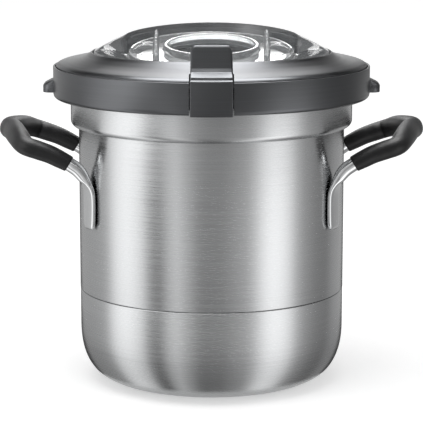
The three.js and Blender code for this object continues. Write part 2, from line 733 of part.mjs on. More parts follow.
function lidRing() {
  const inside = RIM_R + 0.9;
  const channel = inside + 2.5;              // hollow between the inner wall and the side wall
  const ring = revolve([
    [inside, LID_Z],
    ...arc(LID_R - LID_CORNER, LID_Z + LID_CORNER, LID_CORNER, -90, 0, 3),
    [LID_R, LID_EDGE_Z - 0.7],
    [LID_R - 0.7, LID_EDGE_Z],
    [LID_R - EDGE_LIP, LID_EDGE_Z],
    [LID_R - EDGE_LIP, SHELF_Z],
    [LID_WALL_IN - 2.4, SHELF_Z],
    [LID_WALL_IN - 2.4, SHELF_Z - 2],
    [LID_WALL_IN, SHELF_Z - 4.4],
    [LID_WALL_IN, LID_Z + WEB_T],
    [channel, LID_Z + WEB_T],
    [channel, WEB_TOP],
    [FLANGE_R + GAP, WEB_TOP],
    [FLANGE_R + GAP, FLANGE_Z - GAP],
    [UPSTAND_R, FLANGE_Z - GAP],
    [UPSTAND_R, WEB_Z],
    [inside, WEB_Z],
  ]);
  const cheeks = [-1, 1].map((side) => {
    const middle = side * (SLOT_HALF + CHEEK / 2);
    return block(middle - CHEEK / 2, middle + CHEEK / 2, -LID_WALL_IN - 1, -SLOT_IN, WEB_TOP - 1, SHELF_Z);
  });
  const slot = block(-SLOT_HALF, SLOT_HALF, -LID_R - 2, -SLOT_IN, LID_Z - 1, LATCH_TOP);
  const pinHole = alongPin(PIN_R + GAP, -PIN_L / 2 - 1, PIN_L / 2 + 1, 12);
  return part('lid_ring', cut(join(ring, ...cheeks, sideLug(0), sideLug(Math.PI)), slot, pinHole), 'lid');
}

/** Lug on the ring's side: a thin plate, rounded in plan, under a sloping gusset. */
function sideLug(turn) {
  const root = LID_R - 1.5;
  const tip = LID_R + LUG_REACH;
  const half = LUG_W / 2;
  const round = 5;
  const low = LID_Z + 3.4;
  const outline = [
    [root, -half],
    ...arc(tip - round, -half + round, round, -90, 0, 3),
    ...arc(tip - round, half - round, round, 0, 90, 3),
    [root, half],
  ];
  const side = [
    [root, low],
    [tip, low],
    [tip, low + 5.4],
    [tip - 1.2, low + 7],
    [LID_R, low + 9.8],
    [root, low + 10.1],
  ];
  return intersect(prism(outline, low - 1, low + 12), prismY(side, -half - 1, half + 1)).rotateZ(turn);
}

function lidTopRing() {
  const under = SHELF_Z + GAP;
  const overFlange = FLANGE_Z + FLANGE_T + GAP;
  const inside = SIGHT_R + 0.5;
  const seat = FLANGE_R + 2 * GAP;
  const width = GROOVE_R - inside;
  const ring = ringOf((angle) => {
    const crown = SIGHT_Z - LID_EDGE_Z + 0.2;
    const top = (share, height) => {
      const rise = saddle(angle) * share ** 1.5;
      return [GROOVE_R - share * width, LID_EDGE_Z + height * crown + rise];
    };
    return [
      [seat, under],
      [GROOVE_R, under],
      top(0, 0.12),
      top(0.08, 0.3),
      top(0.23, 0.42),
      top(0.46, 0.54),
      top(0.65, 0.63),
      top(0.83, 0.79),
      top(0.96, 0.97),
      top(1, 0.94),
      [inside, overFlange],
      [seat, overFlange],
    ];
  });
  const slot = block(-SLOT_HALF, SLOT_HALF, -LID_R - 2, -SLOT_IN + 1.2, SHELF_Z - 1, LATCH_TOP);
  return part('lid_top_ring', cut(ring, slot), 'lid');
}

/** Height of the window's face: a dome with a leaning round pocket that opens to the front. */
function windowHeight(r, angle) {
  const share = r / SIGHT_R;
  const crest = 4 * CREST * share ** 2 * (1 - share ** 2) * ((1 - Math.cos(angle)) / 2) ** 3;
  const rise = DOME_H * (1 - share ** DOME_POWER) + crest;
  const dome = SIGHT_Z + WINDOW_LIP + rise + saddle(angle) * share ** 2;
  const pocket = POCKET_Z - Math.tan(TILT) * r * Math.cos(angle);
  const slope = BACK_SLOPE + (FRONT_SLOPE - BACK_SLOPE) * smooth((Math.cos(angle) + 0.1) / 0.3);
  return dome - (dome - pocket) * (1 - smooth((r - POCKET_R) / slope));
}

/** Height of the window's inner face, one wall thickness from the outer one. */
function windowUnder(r, angle) {
  return Math.min(...[-1, -0.7, 0, 0.7, 1].map((step) => {
    return windowHeight(r + step * WINDOW_T, angle) - WINDOW_T * Math.sqrt(1 - step * step);
  }));
}

function lidWindow() {
  const wall = SIGHT_R - WINDOW_T;
  const fractions = [0.97, 0.8, 0.6, 0.42, 0.27, 0.15, 0.065, 0];
  const radii = fractions.map((share) => POCKET_R + share * (SIGHT_R - POCKET_R));
  radii.push(WELL_R + 8, WELL_R - 8);
  const under = [WELL_R - 8, POCKET_R - 1, POCKET_R + 2.5, POCKET_R + 9, POCKET_R + 16, wall];
  const shell = ringOf((angle) => [
    [FLANGE_R, FLANGE_Z],
    [FLANGE_R, FLANGE_Z + FLANGE_T],
    [SIGHT_R, FLANGE_Z + FLANGE_T],
    [SIGHT_R, windowHeight(SIGHT_R, angle) - 0.8],
    ...radii.map((r) => [r, windowHeight(r, angle)]),
    ...under.map((r) => [r, windowUnder(r, angle)]),
    [wall, FLANGE_Z],
  ]);
  const hole = WELL_R + CAP_FIT;
  const collar = lean(post(hole + 4, -WELL_DEPTH / 2, -0.6, MEDIUM));
  const bore = lean(post(hole, -WELL_DEPTH, WELL_RIM, MEDIUM));
  const rebate = lean(post(hole + 2.4, -2.4, WELL_RIM, MEDIUM));
  return part('lid_window', cut(join(shell, collar), bore, rebate), 'window');
}

/** Ring in the rebate round the filler opening, under the cap. */
function capSeal() {
  const inside = WELL_R + GAP;
  const outside = WELL_R + CAP_FIT + 2.4 - GAP;
  return part('cap_seal', lean(revolve([
    [inside, -2.1],
    [outside, -2.1],
    [outside, -0.7],
    [outside - 1, 0],
    [inside, 0],
  ], MEDIUM)), 'silicone');
}

/** Ring between rim and lid: a flat seat, and a lip that hangs inside the bowl. */
function lidSeal() {
  const lip = BAND_R - WALL - 0.4;
  return part('lid_seal', revolve([
    [lip - 1.8, RIM_Z - 4],
    [lip, RIM_Z - 4],
    [lip, RIM_Z + GAP],
    [RIM_R - 0.4, RIM_Z + GAP],
    [RIM_R - 0.4, WEB_Z - GAP],
    [lip - 1.8, WEB_Z - GAP],
  ]), 'silicone');
}

// ---------------------------------------------------------------- filler cap

/** Finger fin: an arch seen from the side, a point seen from the front. */
function fin(side) {
  const base = GAP + 0.5;
  const half = FIN_L / 2;
  const rise = FIN_H - CAP_T;
  const arch = [
    [-half, base],
    [half, base],
    ...arc(0, 0, 1, 12, 168, 8).map(([x, y]) => [half * x, CAP_T + rise * y]),
  ];
  const wedge = [[0.5, 0.6], [0.22, 0.92], [0, 1], [-0.22, 0.92], [-0.5, 0.6], [-0.5, 0], [0.5, 0]]
    .map(([across, up]) => [FIN_T * across, FIN_H * up]);
  return intersect(prismX(arch, FIN_T + 1), prismY(wedge, -half - 1, half + 1)).translate(side * FIN_X, 0, 0);
}

/** Shallow recess outside a fin, for the fingertips. */
function fingerRecess(side) {
  const inner = FIN_X - FIN_T / 3;
  const outer = CAP_R - 2.5;
  const outline = arc(0, 0, 1, 0, 340, 17).map(([x, y]) => [
    side * ((inner + outer) / 2 + (outer - inner) / 2 * x),
    6 + 20 * y,
  ]);
  return prism(outline, CAP_T / 2, CAP_T + 3);
}

function fillerCap() {
  const bore = WELL_R - WELL_WALL;
  const bottom = -WELL_DEPTH;
  const body = revolve([
    [0, bottom],
    [WELL_R - 6, bottom],
    ...arc(WELL_R - 4, bottom + 4, 4, -60, 0, 3),
    [WELL_R, GAP],
    [CAP_R - 0.4, GAP],
    [CAP_R, GAP + 0.5],
    [CAP_R, CAP_T],
    [CAP_R - 0.9, CAP_T + 0.4],
    [CAP_R - 1.8, CAP_T],
    [WELL_R, CAP_T],
    [WELL_R, WELL_RIM - 1],
    [WELL_R - 1.2, WELL_RIM],
    [bore + 0.8, WELL_RIM],
    [bore, WELL_RIM - 1],
    [bore, bottom + 7],
    [bore - 4, bottom + 3],
    [0, bottom + 3],
  ], MEDIUM);
  const recessed = cut(body, fingerRecess(-1), fingerRecess(1));
  return part('filler_cap', lean(join(recessed, fin(-1), fin(1))), 'clear');
}

// ---------------------------------------------------------------- latch

/** Side view of the lever as [distance in from its face, height above the lid ring's edge]. */
function leverProfile() {
  const bottom = -LID_SIDE - 0.7;
  const tooth = LID_R - RIM_R - 0.4;
  const toothTop = RIM_Z - RIM_BEAD - 0.5 - LID_EDGE_Z;
  const tab = [
    [0, 0.09], [0.09, 0.3], [0.36, 0.49], [0.62, 0.67], [0.8, 1],
  ].map(([depth, up]) => [depth * TAB_DEPTH, up * BEND_H]);
  const back = [
    [1.04, 0.93], [0.82, 0.44], [0.54, 0.21],
  ].map(([depth, up]) => [depth * TAB_DEPTH, up * BEND_H]);
  return [
    [0, bottom],
    ...tab,
    [0.92 * TAB_DEPTH, TAB_H - 1.2],
    [TAB_DEPTH, TAB_H],
    [TAB_DEPTH + 1.2, TAB_H - 0.8],
    ...back,
    [LATCH_T, -0.6],
    [LATCH_T, toothTop + 3.5],
    [LATCH_T + 1, toothTop + 0.6],
    [tooth, toothTop],
    [tooth, toothTop - 0.9],
    [tooth - 1.2, bottom],
  ];
}

function latchLever() {
  const half = LATCH_W / 2;
  const low = LID_Z - 2;
  const shoulderX = half - TAB_CORNER - 0.5;
  const front = [
    [-half, low],
    [half, low],
    [half, LID_EDGE_Z],
    ...arc(shoulderX, LATCH_TOP - TAB_CORNER, TAB_CORNER, 0, 90, 4),
    ...arc(-shoulderX, LATCH_TOP - TAB_CORNER, TAB_CORNER, 90, 180, 4),
    [-half, LID_EDGE_Z],
  ];
  const side = leverProfile().map(([depth, up]) => [depth - LID_R, LID_EDGE_Z + up]);
  const plate = intersect(prismX(side, LATCH_W + 2), prismY(front, -LID_R - 1, -LID_R + 1.5 * TAB_DEPTH));
  const knuckle = (from, to) => {
    const outside = PIN_R + GAP + KNUCKLE_WALL;
    const half = outside - 0.1;
    const web = block(from, to, LATCH_T - 0.5 - LID_R, -PIN_OUT, PIN_Z - half, PIN_Z + half);
    return join(alongPin(outside, from, to), web);
  };
  const whole = join(plate, knuckle(-half + 0.2, -SPRING_HALF), knuckle(SPRING_HALF, half - 0.2));
  return part('latch_lever', cut(whole, alongPin(PIN_R + GAP, -half - 1, half + 1, 12)), 'lid');
}

function latchPin() {
  return part('latch_pin', alongPin(PIN_R, -PIN_L / 2, PIN_L / 2, 12), 'steel');
}

/** Torsion spring round the pin: one leg bears on the lever, the other on the lid ring's web. */
function latchSpring() {
  const coil = PIN_R + GAP + WIRE_R;
  const half = SPRING_HALF - WIRE_R - 0.7;
  const turns = 4;
  const steps = 8 * turns;
  const helix = Array.from({ length: steps + 1 }, (_, i) => {
    const a = 2 * Math.PI * turns * i / steps;
    return new THREE.Vector3(half * (2 * i / steps - 1), coil * Math.sin(a), -coil * Math.cos(a));
  });
  const leverLeg = new THREE.Vector3(-half, LATCH_T - PIN_DEPTH + GAP + WIRE_R, -coil);
  const webLeg = new THREE.Vector3(half, PIN_OUT - SLOT_IN - GAP - WIRE_R, WEB_TOP - 1 - PIN_Z);
  const path = new THREE.CatmullRomCurve3([leverLeg, ...helix, webLeg], false, 'centripetal');
  const section = new THREE.Shape(arc(0, 0, WIRE_R, 0, 288, 4).map(([x, y]) => new THREE.Vector2(x, y)));
  const options = { steps: steps + 6, extrudePath: path, bevelEnabled: false };
  const spring = new THREE.ExtrudeGeometry(section, options);
  return part('latch_spring', weld(spring).translate(0, -PIN_OUT, PIN_Z), 'bearing');
}

// ---------------------------------------------------------------- assembly

const bowl = new THREE.Group();
bowl.name = 'cooking_bowl';

bowl.add(bowlShell(), baseSkirt(), heatPlate(), baseCover(), ...footPads(), ...baseScrews());
bowl.add(bearingHousing(), housingNut(), bearing('lower_bearing', LOWER_BEARING_Z));
bowl.add(bearing('upper_bearing', UPPER_BEARING_Z), shaftSeal());
bowl.add(driveShaft(), driveCoupling(), retainingClip());
bowl.add(bladeHub(), blades('lower_blades', LOWER_BLADE_Z, LOWER_LIFT, 20));
bowl.add(blades('upper_blades', UPPER_BLADE_Z, UPPER_LIFT, 110));
bowl.add(handleBracket('handle_bracket_right', 0), handleGrip('handle_grip_right', 0));
bowl.add(handleBracket('handle_bracket_left', Math.PI), handleGrip('handle_grip_left', Math.PI));
bowl.add(lidRing(), lidTopRing(), lidWindow(), lidSeal());
bowl.add(latchLever(), latchPin(), latchSpring());
bowl.add(fillerCap(), capSeal());

export default bowl;
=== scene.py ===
"""Cooking bowl with a latched lid, a filler cap and a blade set: finished surfaces, studio and camera.

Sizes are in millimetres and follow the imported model. Angles round the lid and the bowl are measured
from the front, where the latch is, towards the right handle.
"""

import logging
import math
from collections.abc import Callable, Sequence
from dataclasses import dataclass, field
from enum import Enum
from typing import Any

import bmesh
import bpy
from mathutils import Matrix, Vector


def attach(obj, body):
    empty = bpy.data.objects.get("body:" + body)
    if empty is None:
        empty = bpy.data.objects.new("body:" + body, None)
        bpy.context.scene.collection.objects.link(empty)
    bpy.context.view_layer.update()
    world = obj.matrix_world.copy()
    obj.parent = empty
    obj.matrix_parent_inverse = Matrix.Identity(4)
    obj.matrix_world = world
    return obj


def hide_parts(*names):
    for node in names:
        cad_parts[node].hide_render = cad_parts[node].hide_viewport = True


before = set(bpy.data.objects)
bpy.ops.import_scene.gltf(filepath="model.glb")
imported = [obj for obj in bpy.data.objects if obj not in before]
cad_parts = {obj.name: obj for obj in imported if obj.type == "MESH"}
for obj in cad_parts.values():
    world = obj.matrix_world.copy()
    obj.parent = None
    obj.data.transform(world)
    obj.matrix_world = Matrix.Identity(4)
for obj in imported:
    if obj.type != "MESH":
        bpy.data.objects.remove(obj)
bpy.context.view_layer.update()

MM = 0.001                       # millimetres to metres
ROUND = 192                      # facets round the large pieces
SMALL = 64                       # facets round the small pieces
GAP = 0.3                        # running clearance between pieces that touch

log = logging.getLogger("cooking_bowl")

Profile = list[tuple[float, float]]


class Body(Enum):
    """Moving bodies of the model."""

    BOWL = "bowl"
    DRIVE = "drive"
    BLADES = "blades"
    LID = "lid"
    LATCH = "latch"
    CAP = "cap"


class Side(Enum):
    """Side of a handle, with its turn about the bowl's axis."""

    RIGHT = 0.0
    LEFT = math.pi


# ---------------------------------------------------------------- shapes


@dataclass
class Form:
    """Points, in millimetres, and faces of a piece before it becomes a mesh."""

    points: list[Vector] = field(default_factory=list)
    faces: list[tuple[int, ...]] = field(default_factory=list)

    def moved(self, matrix: Matrix) -> "Form":
        """Copy of the form, moved by a matrix."""
        return Form([matrix @ point for point in self.points], list(self.faces))


def arc(cx: float, cy: float, radius: float, start: float, end: float, steps: int = 8) -> Profile:
    """Points of an arc.

    Args:
        cx: Centre, across.
        cy: Centre, up.
        radius: Radius of the arc.
        start: First angle in degrees.
        end: Last angle in degrees.
        steps: Number of chords.

    Returns:
        The arc's points, both ends included.
    """
    angles = [math.radians(start + (end - start) * i / steps) for i in range(steps + 1)]
    return [(cx + radius * math.cos(a), cy + radius * math.sin(a)) for a in angles]


def rounded(corners: Sequence[tuple[float, ...]], steps: int = 5) -> Profile:
    """Closed outline with rounded corners.

    Args:
        corners: (across, up) or (across, up, radius) of each corner.
        steps: Chords in each rounding.

    Returns:
        The outline's points.
    """
    outline: Profile = []
    for i, corner in enumerate(corners):
        here = Vector(corner[:2])
        before = Vector(corners[i - 1][:2]) - here
        after = Vector(corners[(i + 1) % len(corners)][:2]) - here
        radius = corner[2] if len(corner) > 2 else 0.0
        half = before.angle(after) / 2 if before.length and after.length else 0.0
        if radius <= 0 or half < 0.02 or half > 1.55:
            outline.append((here.x, here.y))
            continue
        reach = min(radius / math.tan(half), 0.48 * before.length, 0.48 * after.length)
        start = here + before.normalized() * reach
        end = here + after.normalized() * reach
        for k in range(steps + 1):
            t = k / steps
            point = start * (1 - t) ** 2 + here * 2 * t * (1 - t) + end * t * t
            outline.append((point.x, point.y))
    return outline


def smooth(t: float) -> float:
    """Eased step from 0 to 1."""
    s = min(1.0, max(0.0, t))
    return s * s * (3 - 2 * s)


def spline(values: Sequence[Sequence[float]], place: float) -> list[float]:
    """Smooth value between stations.

    Args:
        values: One row of numbers for each station.
        place: Station number, with its fraction.

    Returns:
        The row at that place, on a Catmull-Rom curve through the stations.
    """
    last = len(values) - 1
    i = min(int(place), last - 1)
    t = place - i
    a, b, c, d = (values[max(0, min(last, k))] for k in (i - 1, i, i + 1, i + 2))
    return [
        0.5 * (2 * q + (r - p) * t + (2 * p - 5 * q + 4 * r - s) * t * t + (3 * q - p - 3 * r + s) * t ** 3)
        for p, q, r, s in zip(a, b, c, d)
    ]


def skin(rings: Sequence[Sequence[Vector]], runs_round: bool = False) -> Form:
    """Closed skin over a row of equal rings.

    Args:
        rings: Rings of points, all of the same length.
        runs_round: Whether the last ring joins the first; otherwise both ends are closed flat.

    Returns:
        The skin.
    """
    n = len(rings[0])
    form = Form([point.copy() for ring in rings for point in ring])
    count = len(rings) if runs_round else len(rings) - 1
    for i in range(count):
        here = i * n
        there = (i + 1) % len(rings) * n
        for k in range(n):
            form.faces.append((here + k, here + (k + 1) % n, there + (k + 1) % n, there + k))
    if not runs_round:
        form.faces.append(tuple(reversed(range(n))))
        form.faces.append(tuple(range((len(rings) - 1) * n, len(rings) * n)))
    return form


def on_ring(radius: float, angle: float, height: float) -> Vector:
    """Point at a radius, an angle from the front and a height."""
    return Vector((radius * math.sin(angle), -radius * math.cos(angle), height))


def ring_of(section_at: Callable[[float], Sequence[Vector]], facets: int = ROUND) -> Form:
    """Ring whose section, a closed row of points, is given at each angle from the front."""
    return skin([section_at(2 * math.pi * i / facets) for i in range(facets)], runs_round=True)


def revolve(outline: Profile, facets: int = ROUND) -> Form:
    """Solid of revolution about Z of a closed outline of (radius, height) points."""
    return ring_of(lambda angle: [on_ring(r, angle, z) for r, z in outline], facets)


def prism(outline: Profile, low: float, high: float) -> Form:
    """Upright prism of an outline in the XY plane."""
    return skin([[Vector((x, y, z)) for x, y in outline] for z in (low, high)])


def block(x0: float, x1: float, y0: float, y1: float, z0: float, z1: float) -> Form:
    """Box between two corners, used to cut slots."""
    return prism([(x0, y0), (x1, y0), (x1, y1), (x0, y1)], z0, z1)


def turn_by(degrees: float) -> Matrix:
    """Turn about the upright axis."""
    return Matrix.Rotation(math.radians(degrees), 4, "Z")


def hexagonal(angle: float) -> float:
    """Distance from the middle of a hexagon to its side, against that to its corners."""
    return math.cos(math.pi / 6) / math.cos(angle % (math.pi / 3) - math.pi / 6)


def level_ring(radius_at: Callable[[float], float], height: float, sides: int) -> list[Vector]:
    """Level ring of points whose radius is given at each angle from X."""
    turns = [2 * math.pi * i / sides for i in range(sides)]
    return [Vector((radius_at(a) * math.cos(a), radius_at(a) * math.sin(a), height)) for a in turns]


def spread(count: int) -> list[float]:
    """Even shares from 0 to 1."""
    return [i / (count - 1) for i in range(count)]


def lean_matrix(tilt: float, height: float) -> Matrix:
    """Placement of what sits on the leaning axis of the filler cap."""
    return Matrix.Translation((0, 0, height)) @ Matrix.Rotation(tilt, 4, "X")


def add_object(name: str, data: bpy.types.ID) -> bpy.types.Object:
    """Object that shows a mesh, a lamp or a camera, linked to the scene.

    Args:
        name: Name of the object.
        data: What it shows.

    Returns:
        The object.
    """
    item = bpy.data.objects.new(name, data)
    bpy.context.collection.objects.link(item)
    return item


def to_mesh(name: str, form: Form) -> bpy.types.Mesh:
    """Mesh of a form, welded, with faces that point out.

    Args:
        name: Name of the mesh.
        form: The form, in millimetres.

    Returns:
        The mesh, in metres.
    """
    mesh = bpy.data.meshes.new(name)
    work = bmesh.new()
    corners = [work.verts.new(point * MM) for point in form.points]
    for face in form.faces:
        work.faces.new([corners[i] for i in face])
    bmesh.ops.remove_doubles(work, verts=work.verts, dist=2e-7)
    bmesh.ops.dissolve_degenerate(work, edges=work.edges, dist=2e-7)
    bmesh.ops.recalc_face_normals(work, faces=work.faces)
    work.to_mesh(mesh)
    work.free()
    return mesh


def combine(target: bpy.types.Object, form: Form, operation: str) -> None:
    """Cuts a form from a piece, or joins it on.

    Args:
        target: The piece, whose mesh is changed.
        form: The other form.
        operation: DIFFERENCE or UNION.
    """
    tool = add_object("tool", to_mesh("tool", form))
    change = target.modifiers.new("combine", "BOOLEAN")
    change.operation = operation
    change.solver = "MANIFOLD"
    change.object = tool
    shaped = bpy.data.meshes.new_from_object(target.evaluated_get(bpy.context.evaluated_depsgraph_get()))
    target.modifiers.clear()
    target.data = shaped
    bpy.data.objects.remove(tool)


# ---------------------------------------------------------------- finishes


def linear(colour: str) -> tuple[float, float, float, float]:
    """Linear colour of an sRGB hex value such as "b9bcbe".

    Args:
        colour: Six hex digits.

    Returns:
        Red, green, blue and opacity.
    """
    parts = [int(colour[i:i + 2], 16) / 255 for i in (0, 2, 4)]
    red, green, blue = (c / 12.92 if c <= 0.04045 else ((c + 0.055) / 1.055) ** 2.4 for c in parts)
    return red, green, blue, 1.0


def add_node(
    tree: bpy.types.NodeTree,
    kind: str,
    settings: dict[str | int, Any],
    links: dict[str | int, bpy.types.NodeSocket] | None = None,
) -> bpy.types.Node:
    """Adds a node with its settings and links.

    Args:
        tree: The node tree.
        kind: Blender's name of the node type.
        settings: Values of sockets or properties; "stops" holds a colour ramp's (place, colour) pairs.
        links: The output socket that feeds each named input.

    Returns:
        The new node.
    """
    node = tree.nodes.new(kind)
    for key, value in settings.items():
        if key == "stops":
            stops = node.color_ramp.elements
            while len(stops) < len(value):
                stops.new(1.0)
            for stop, (place, colour) in zip(stops, value):
                stop.position = place
                stop.color = colour
        elif isinstance(key, int) or key in node.inputs:
            node.inputs[key].default_value = value
        else:
            setattr(node, key, value)
    for key, socket in (links or {}).items():
        tree.links.new(socket, node.inputs[key])
    return node


def new_material(name: str) -> bpy.types.Material:
    """Material with an empty node tree.

    Args:
        name: Name of the material.

    Returns:
        The material.
    """
    material = bpy.data.materials.new(name)
    material.use_nodes = True
    material.node_tree.nodes.clear()
    return material


def maths(
    tree: bpy.types.NodeTree,
    operation: str,
    first: bpy.types.NodeSocket | float,
    second: bpy.types.NodeSocket | float,
) -> bpy.types.NodeSocket:
    """Adds a sum on two values.

    Args:
        tree: The node tree.
        operation: Blender's name of the sum.
        first: First value, a number or a socket.
        second: Second value.

    Returns:
        The result's socket.
    """
    numbers = {i: value for i, value in enumerate((first, second)) if isinstance(value, float)}
    sockets = {i: value for i, value in enumerate((first, second)) if i not in numbers}
    return add_node(tree, "ShaderNodeMath", {"operation": operation} | numbers, sockets).outputs["Value"]


def seen_by_eye(tree: bpy.types.NodeTree) -> bpy.types.NodeSocket:
    """Adds a switch for what shows in the picture, against what only lights the bowl.

    Args:
        tree: The node tree.

    Returns:
        A socket that is 1 for camera, mirror and see-through rays, and otherwise 0.
    """
    path = add_node(tree, "ShaderNodeLightPath", {}).outputs
    seen = maths(tree, "MAXIMUM", path["Is Camera Ray"], path["Is Glossy Ray"])
    return maths(tree, "MAXIMUM", seen, path["Is Transmission Ray"])


@dataclass(frozen=True)
class Finish:
    """What a surface is made of and how it was finished."""

    name: str
    colour: str
    roughness: float
    metallic: float = 0.0
    ior: float = 1.5
    grain: tuple[float, float, float] = (1.0, 1.0, 1.0)   # size of the pattern along X, Y and Z, mm
    detail: float = 3.0
    uneven: float = 0.05         # how far the roughness wanders with the pattern
    tone: float = 0.06           # how far the colour wanders with the pattern
    relief: float = 0.01         # height of the pattern in mm
    coat: float = 0.0
    specular: float = 0.5        # strength of the mirror-like part against that of a smooth surface

    def settings(self) -> dict[str | int, Any]:
        """Constant values of the surface's shader.

        Returns:
            The values, by the socket's name.
        """
        values: dict[str | int, Any] = {"Metallic": self.metallic, "Coat Weight": self.coat}
        if not self.metallic:
            values["IOR"] = self.ior
            values["Specular IOR Level"] = self.specular
        return values

    def pattern(self, tree: bpy.types.NodeTree) -> bpy.types.NodeSocket:
        """Surface pattern, from 0 to 1, at the finish's grain size.

        Args:
            tree: The node tree.

        Returns:
            The pattern's socket.
        """
        place = add_node(tree, "ShaderNodeTexCoord", {})
        scale = tuple(1 / (size * MM) for size in self.grain)
        sized = add_node(tree, "ShaderNodeMapping", {"Scale": scale}, {"Vector": place.outputs["Object"]})
        noise = add_node(
            tree,
            "ShaderNodeTexNoise",
            {"Scale": 1.0, "Detail": self.detail, "Roughness": 0.55},
            {"Vector": sized.outputs["Vector"]},
        )
        return noise.outputs["Fac"]

    def dress(self, tree: bpy.types.NodeTree, shader: bpy.types.Node) -> None:
        """Links the pattern to the shader's colour, roughness and relief.

        Args:
            tree: The node tree.
            shader: The surface's shader.
        """
        pattern = self.pattern(tree)
        base = linear(self.colour)
        low = tuple(c * (1 - self.tone) for c in base[:3]) + (1.0,)
        high = tuple(min(1.0, c * (1 + self.tone)) for c in base[:3]) + (1.0,)
        colour = add_node(
            tree, "ShaderNodeValToRGB", {"stops": [(0.25, low), (0.75, high)]}, {"Fac": pattern}
        )
        tree.links.new(colour.outputs["Color"], shader.inputs["Base Color"])
        rough = add_node(
            tree,
            "ShaderNodeMapRange",
            {
                "From Min": 0.25,
                "From Max": 0.75,
                "To Min": max(0.0, self.roughness - self.uneven),
                "To Max": self.roughness + self.uneven,
            },
            {"Value": pattern},
        )
        tree.links.new(rough.outputs["Result"], shader.inputs["Roughness"])
        if self.relief:
            bump = add_node(
                tree, "ShaderNodeBump", {"Strength": 1.0, "Distance": self.relief * MM}, {"Height": pattern}
            )
            tree.links.new(bump.outputs["Normal"], shader.inputs["Normal"])

    def material(self) -> bpy.types.Material:
        """The finish as a material, made once.

        Returns:
            The material.
        """
        known = bpy.data.materials.get(self.name)
        if known:
            return known
        material = new_material(self.name)
        tree = material.node_tree
        shader = add_node(tree, "ShaderNodeBsdfPrincipled", self.settings())
        add_node(tree, "ShaderNodeOutputMaterial", {}, {"Surface": shader.outputs["BSDF"]})
        self.dress(tree, shader)
        return material


@dataclass(frozen=True)
class TurnedSteel(Finish):
    """Stainless steel with grinding lines that run round the axis, so lights smear into upright bands."""

    metallic: float = 1.0
    anisotropic: float = 0.88

    def settings(self) -> dict[str | int, Any]:
        """Constant values; the grain runs round, so the blur stands upright."""
        return super().settings() | {"Anisotropic": self.anisotropic, "Anisotropic Rotation": 0.25}

    def dress(self, tree: bpy.types.NodeTree, shader: bpy.types.Node) -> None:
        """Adds the direction of the grinding lines to the pattern.

        Args:
            tree: The node tree.
            shader: The surface's shader.
        """
        super().dress(tree, shader)
        tangent = add_node(tree, "ShaderNodeTangent", {"direction_type": "RADIAL", "axis": "Z"})
        tree.links.new(tangent.outputs["Tangent"], shader.inputs["Tangent"])


@dataclass(frozen=True)
class ClearPlastic(Finish):
    """See-through moulding: bright edges, with the colour taken up by its wall."""

    clear: float = 0.9           # share of the light that passes; the rest is the haze of the moulding
    haze: float = 0.1            # how far that share wanders with the pattern

    def dress(self, tree: bpy.types.NodeTree, shader: bpy.types.Node) -> None:
        """Adds the haze, which follows the pattern, to colour and relief.

        Args:
            tree: The node tree.
            shader: The surface's shader.
        """
        super().dress(tree, shader)
        share = add_node(
            tree,
            "ShaderNodeMapRange",
            {
                "From Min": 0.35,
                "From Max": 0.65,
                "To Min": self.clear - self.haze,
                "To Max": self.clear + self.haze,
            },
            {"Value": self.pattern(tree)},
        )
        tree.links.new(share.outputs["Result"], shader.inputs["Transmission Weight"])


@dataclass(frozen=True)
class SoftRubber(Finish):
    """Matt elastomer: a weak sheen at its edges and no hard highlight."""

    sheen: float = 0.15

    def settings(self) -> dict[str | int, Any]:
        """Constant values, with the sheen of a soft surface."""
        return super().settings() | {"Sheen Weight": self.sheen, "Sheen Roughness": 0.4}


# 18/10 stainless, belt-ground round the axis with grit 240. The real lines are 0.1 mm apart, which is
# too fine to show, so they are drawn 0.9 mm apart: a level grain under upright bands of light.
BRUSHED_STAINLESS = TurnedSteel(
    "stainless_steel_belt_ground", "b4b5b6", 0.27, grain=(160, 160, 0.9), uneven=0.04, tone=0.05, relief=0.004
)
# Stainless rod, polished along its length: narrow, bright highlights with soft streaks.
POLISHED_STAINLESS = Finish(
    "stainless_steel_polished", "d0d1d2", 0.15, 1.0, grain=(4, 4, 14), uneven=0.05, tone=0.04, relief=0.006
)
# Hardened blade steel, ground flat: fine straight marks and a cold tone.
GROUND_BLADE_STEEL = Finish(
    "stainless_steel_ground", "b2b4b6", 0.24, 1.0, grain=(1.2, 12, 12), uneven=0.06, tone=0.06, relief=0.006
)
# Zinc-plated steel of nut, screws and clip: dull with a slight mottle.
ZINC_PLATED_STEEL = Finish(
    "steel_zinc_plated", "a4a6a8", 0.33, 1.0, grain=(2, 2, 2), uneven=0.07, tone=0.08, relief=0.008
)
# Steel of the latch pin, coloured near black: painted shade, so that its ends show dark in the slot.
PIN_STEEL_PAINTED_SHADE = Finish(
    "steel_painted_shade", "2c2d2e", 0.38, 1.0, grain=(1.5, 1.5, 1.5), uneven=0.06, tone=0.08, relief=0.006
)
# Die-cast aluminium of the heat plate: pale grey with the crust of a casting, 1.5 mm coarse.
CAST_ALUMINIUM = Finish(
    "aluminium_die_cast", "a9acaf", 0.5, 1.0, grain=(1.5, 1.5, 1.5), uneven=0.08, tone=0.08, relief=0.04
)
# Glass-filled nylon with a metal-effect lacquer, brushed level: satin, dark, with a faint level grain.
LACQUERED_NYLON = TurnedSteel(
    "nylon_metal_effect_lacquer", "57585a", 0.33, 1.0, grain=(120, 120, 1.1), uneven=0.04, tone=0.07,
    relief=0.004, anisotropic=0.5,
)
# Moulded black nylon, spark-eroded mould: even and dull, grain drawn 0.8 mm coarse.
BLACK_NYLON = Finish(
    "nylon_black_moulded", "1b1b1c", 0.48, ior=1.53, grain=(0.8, 0.8, 0.8), uneven=0.06, tone=0.12,
    relief=0.02
)
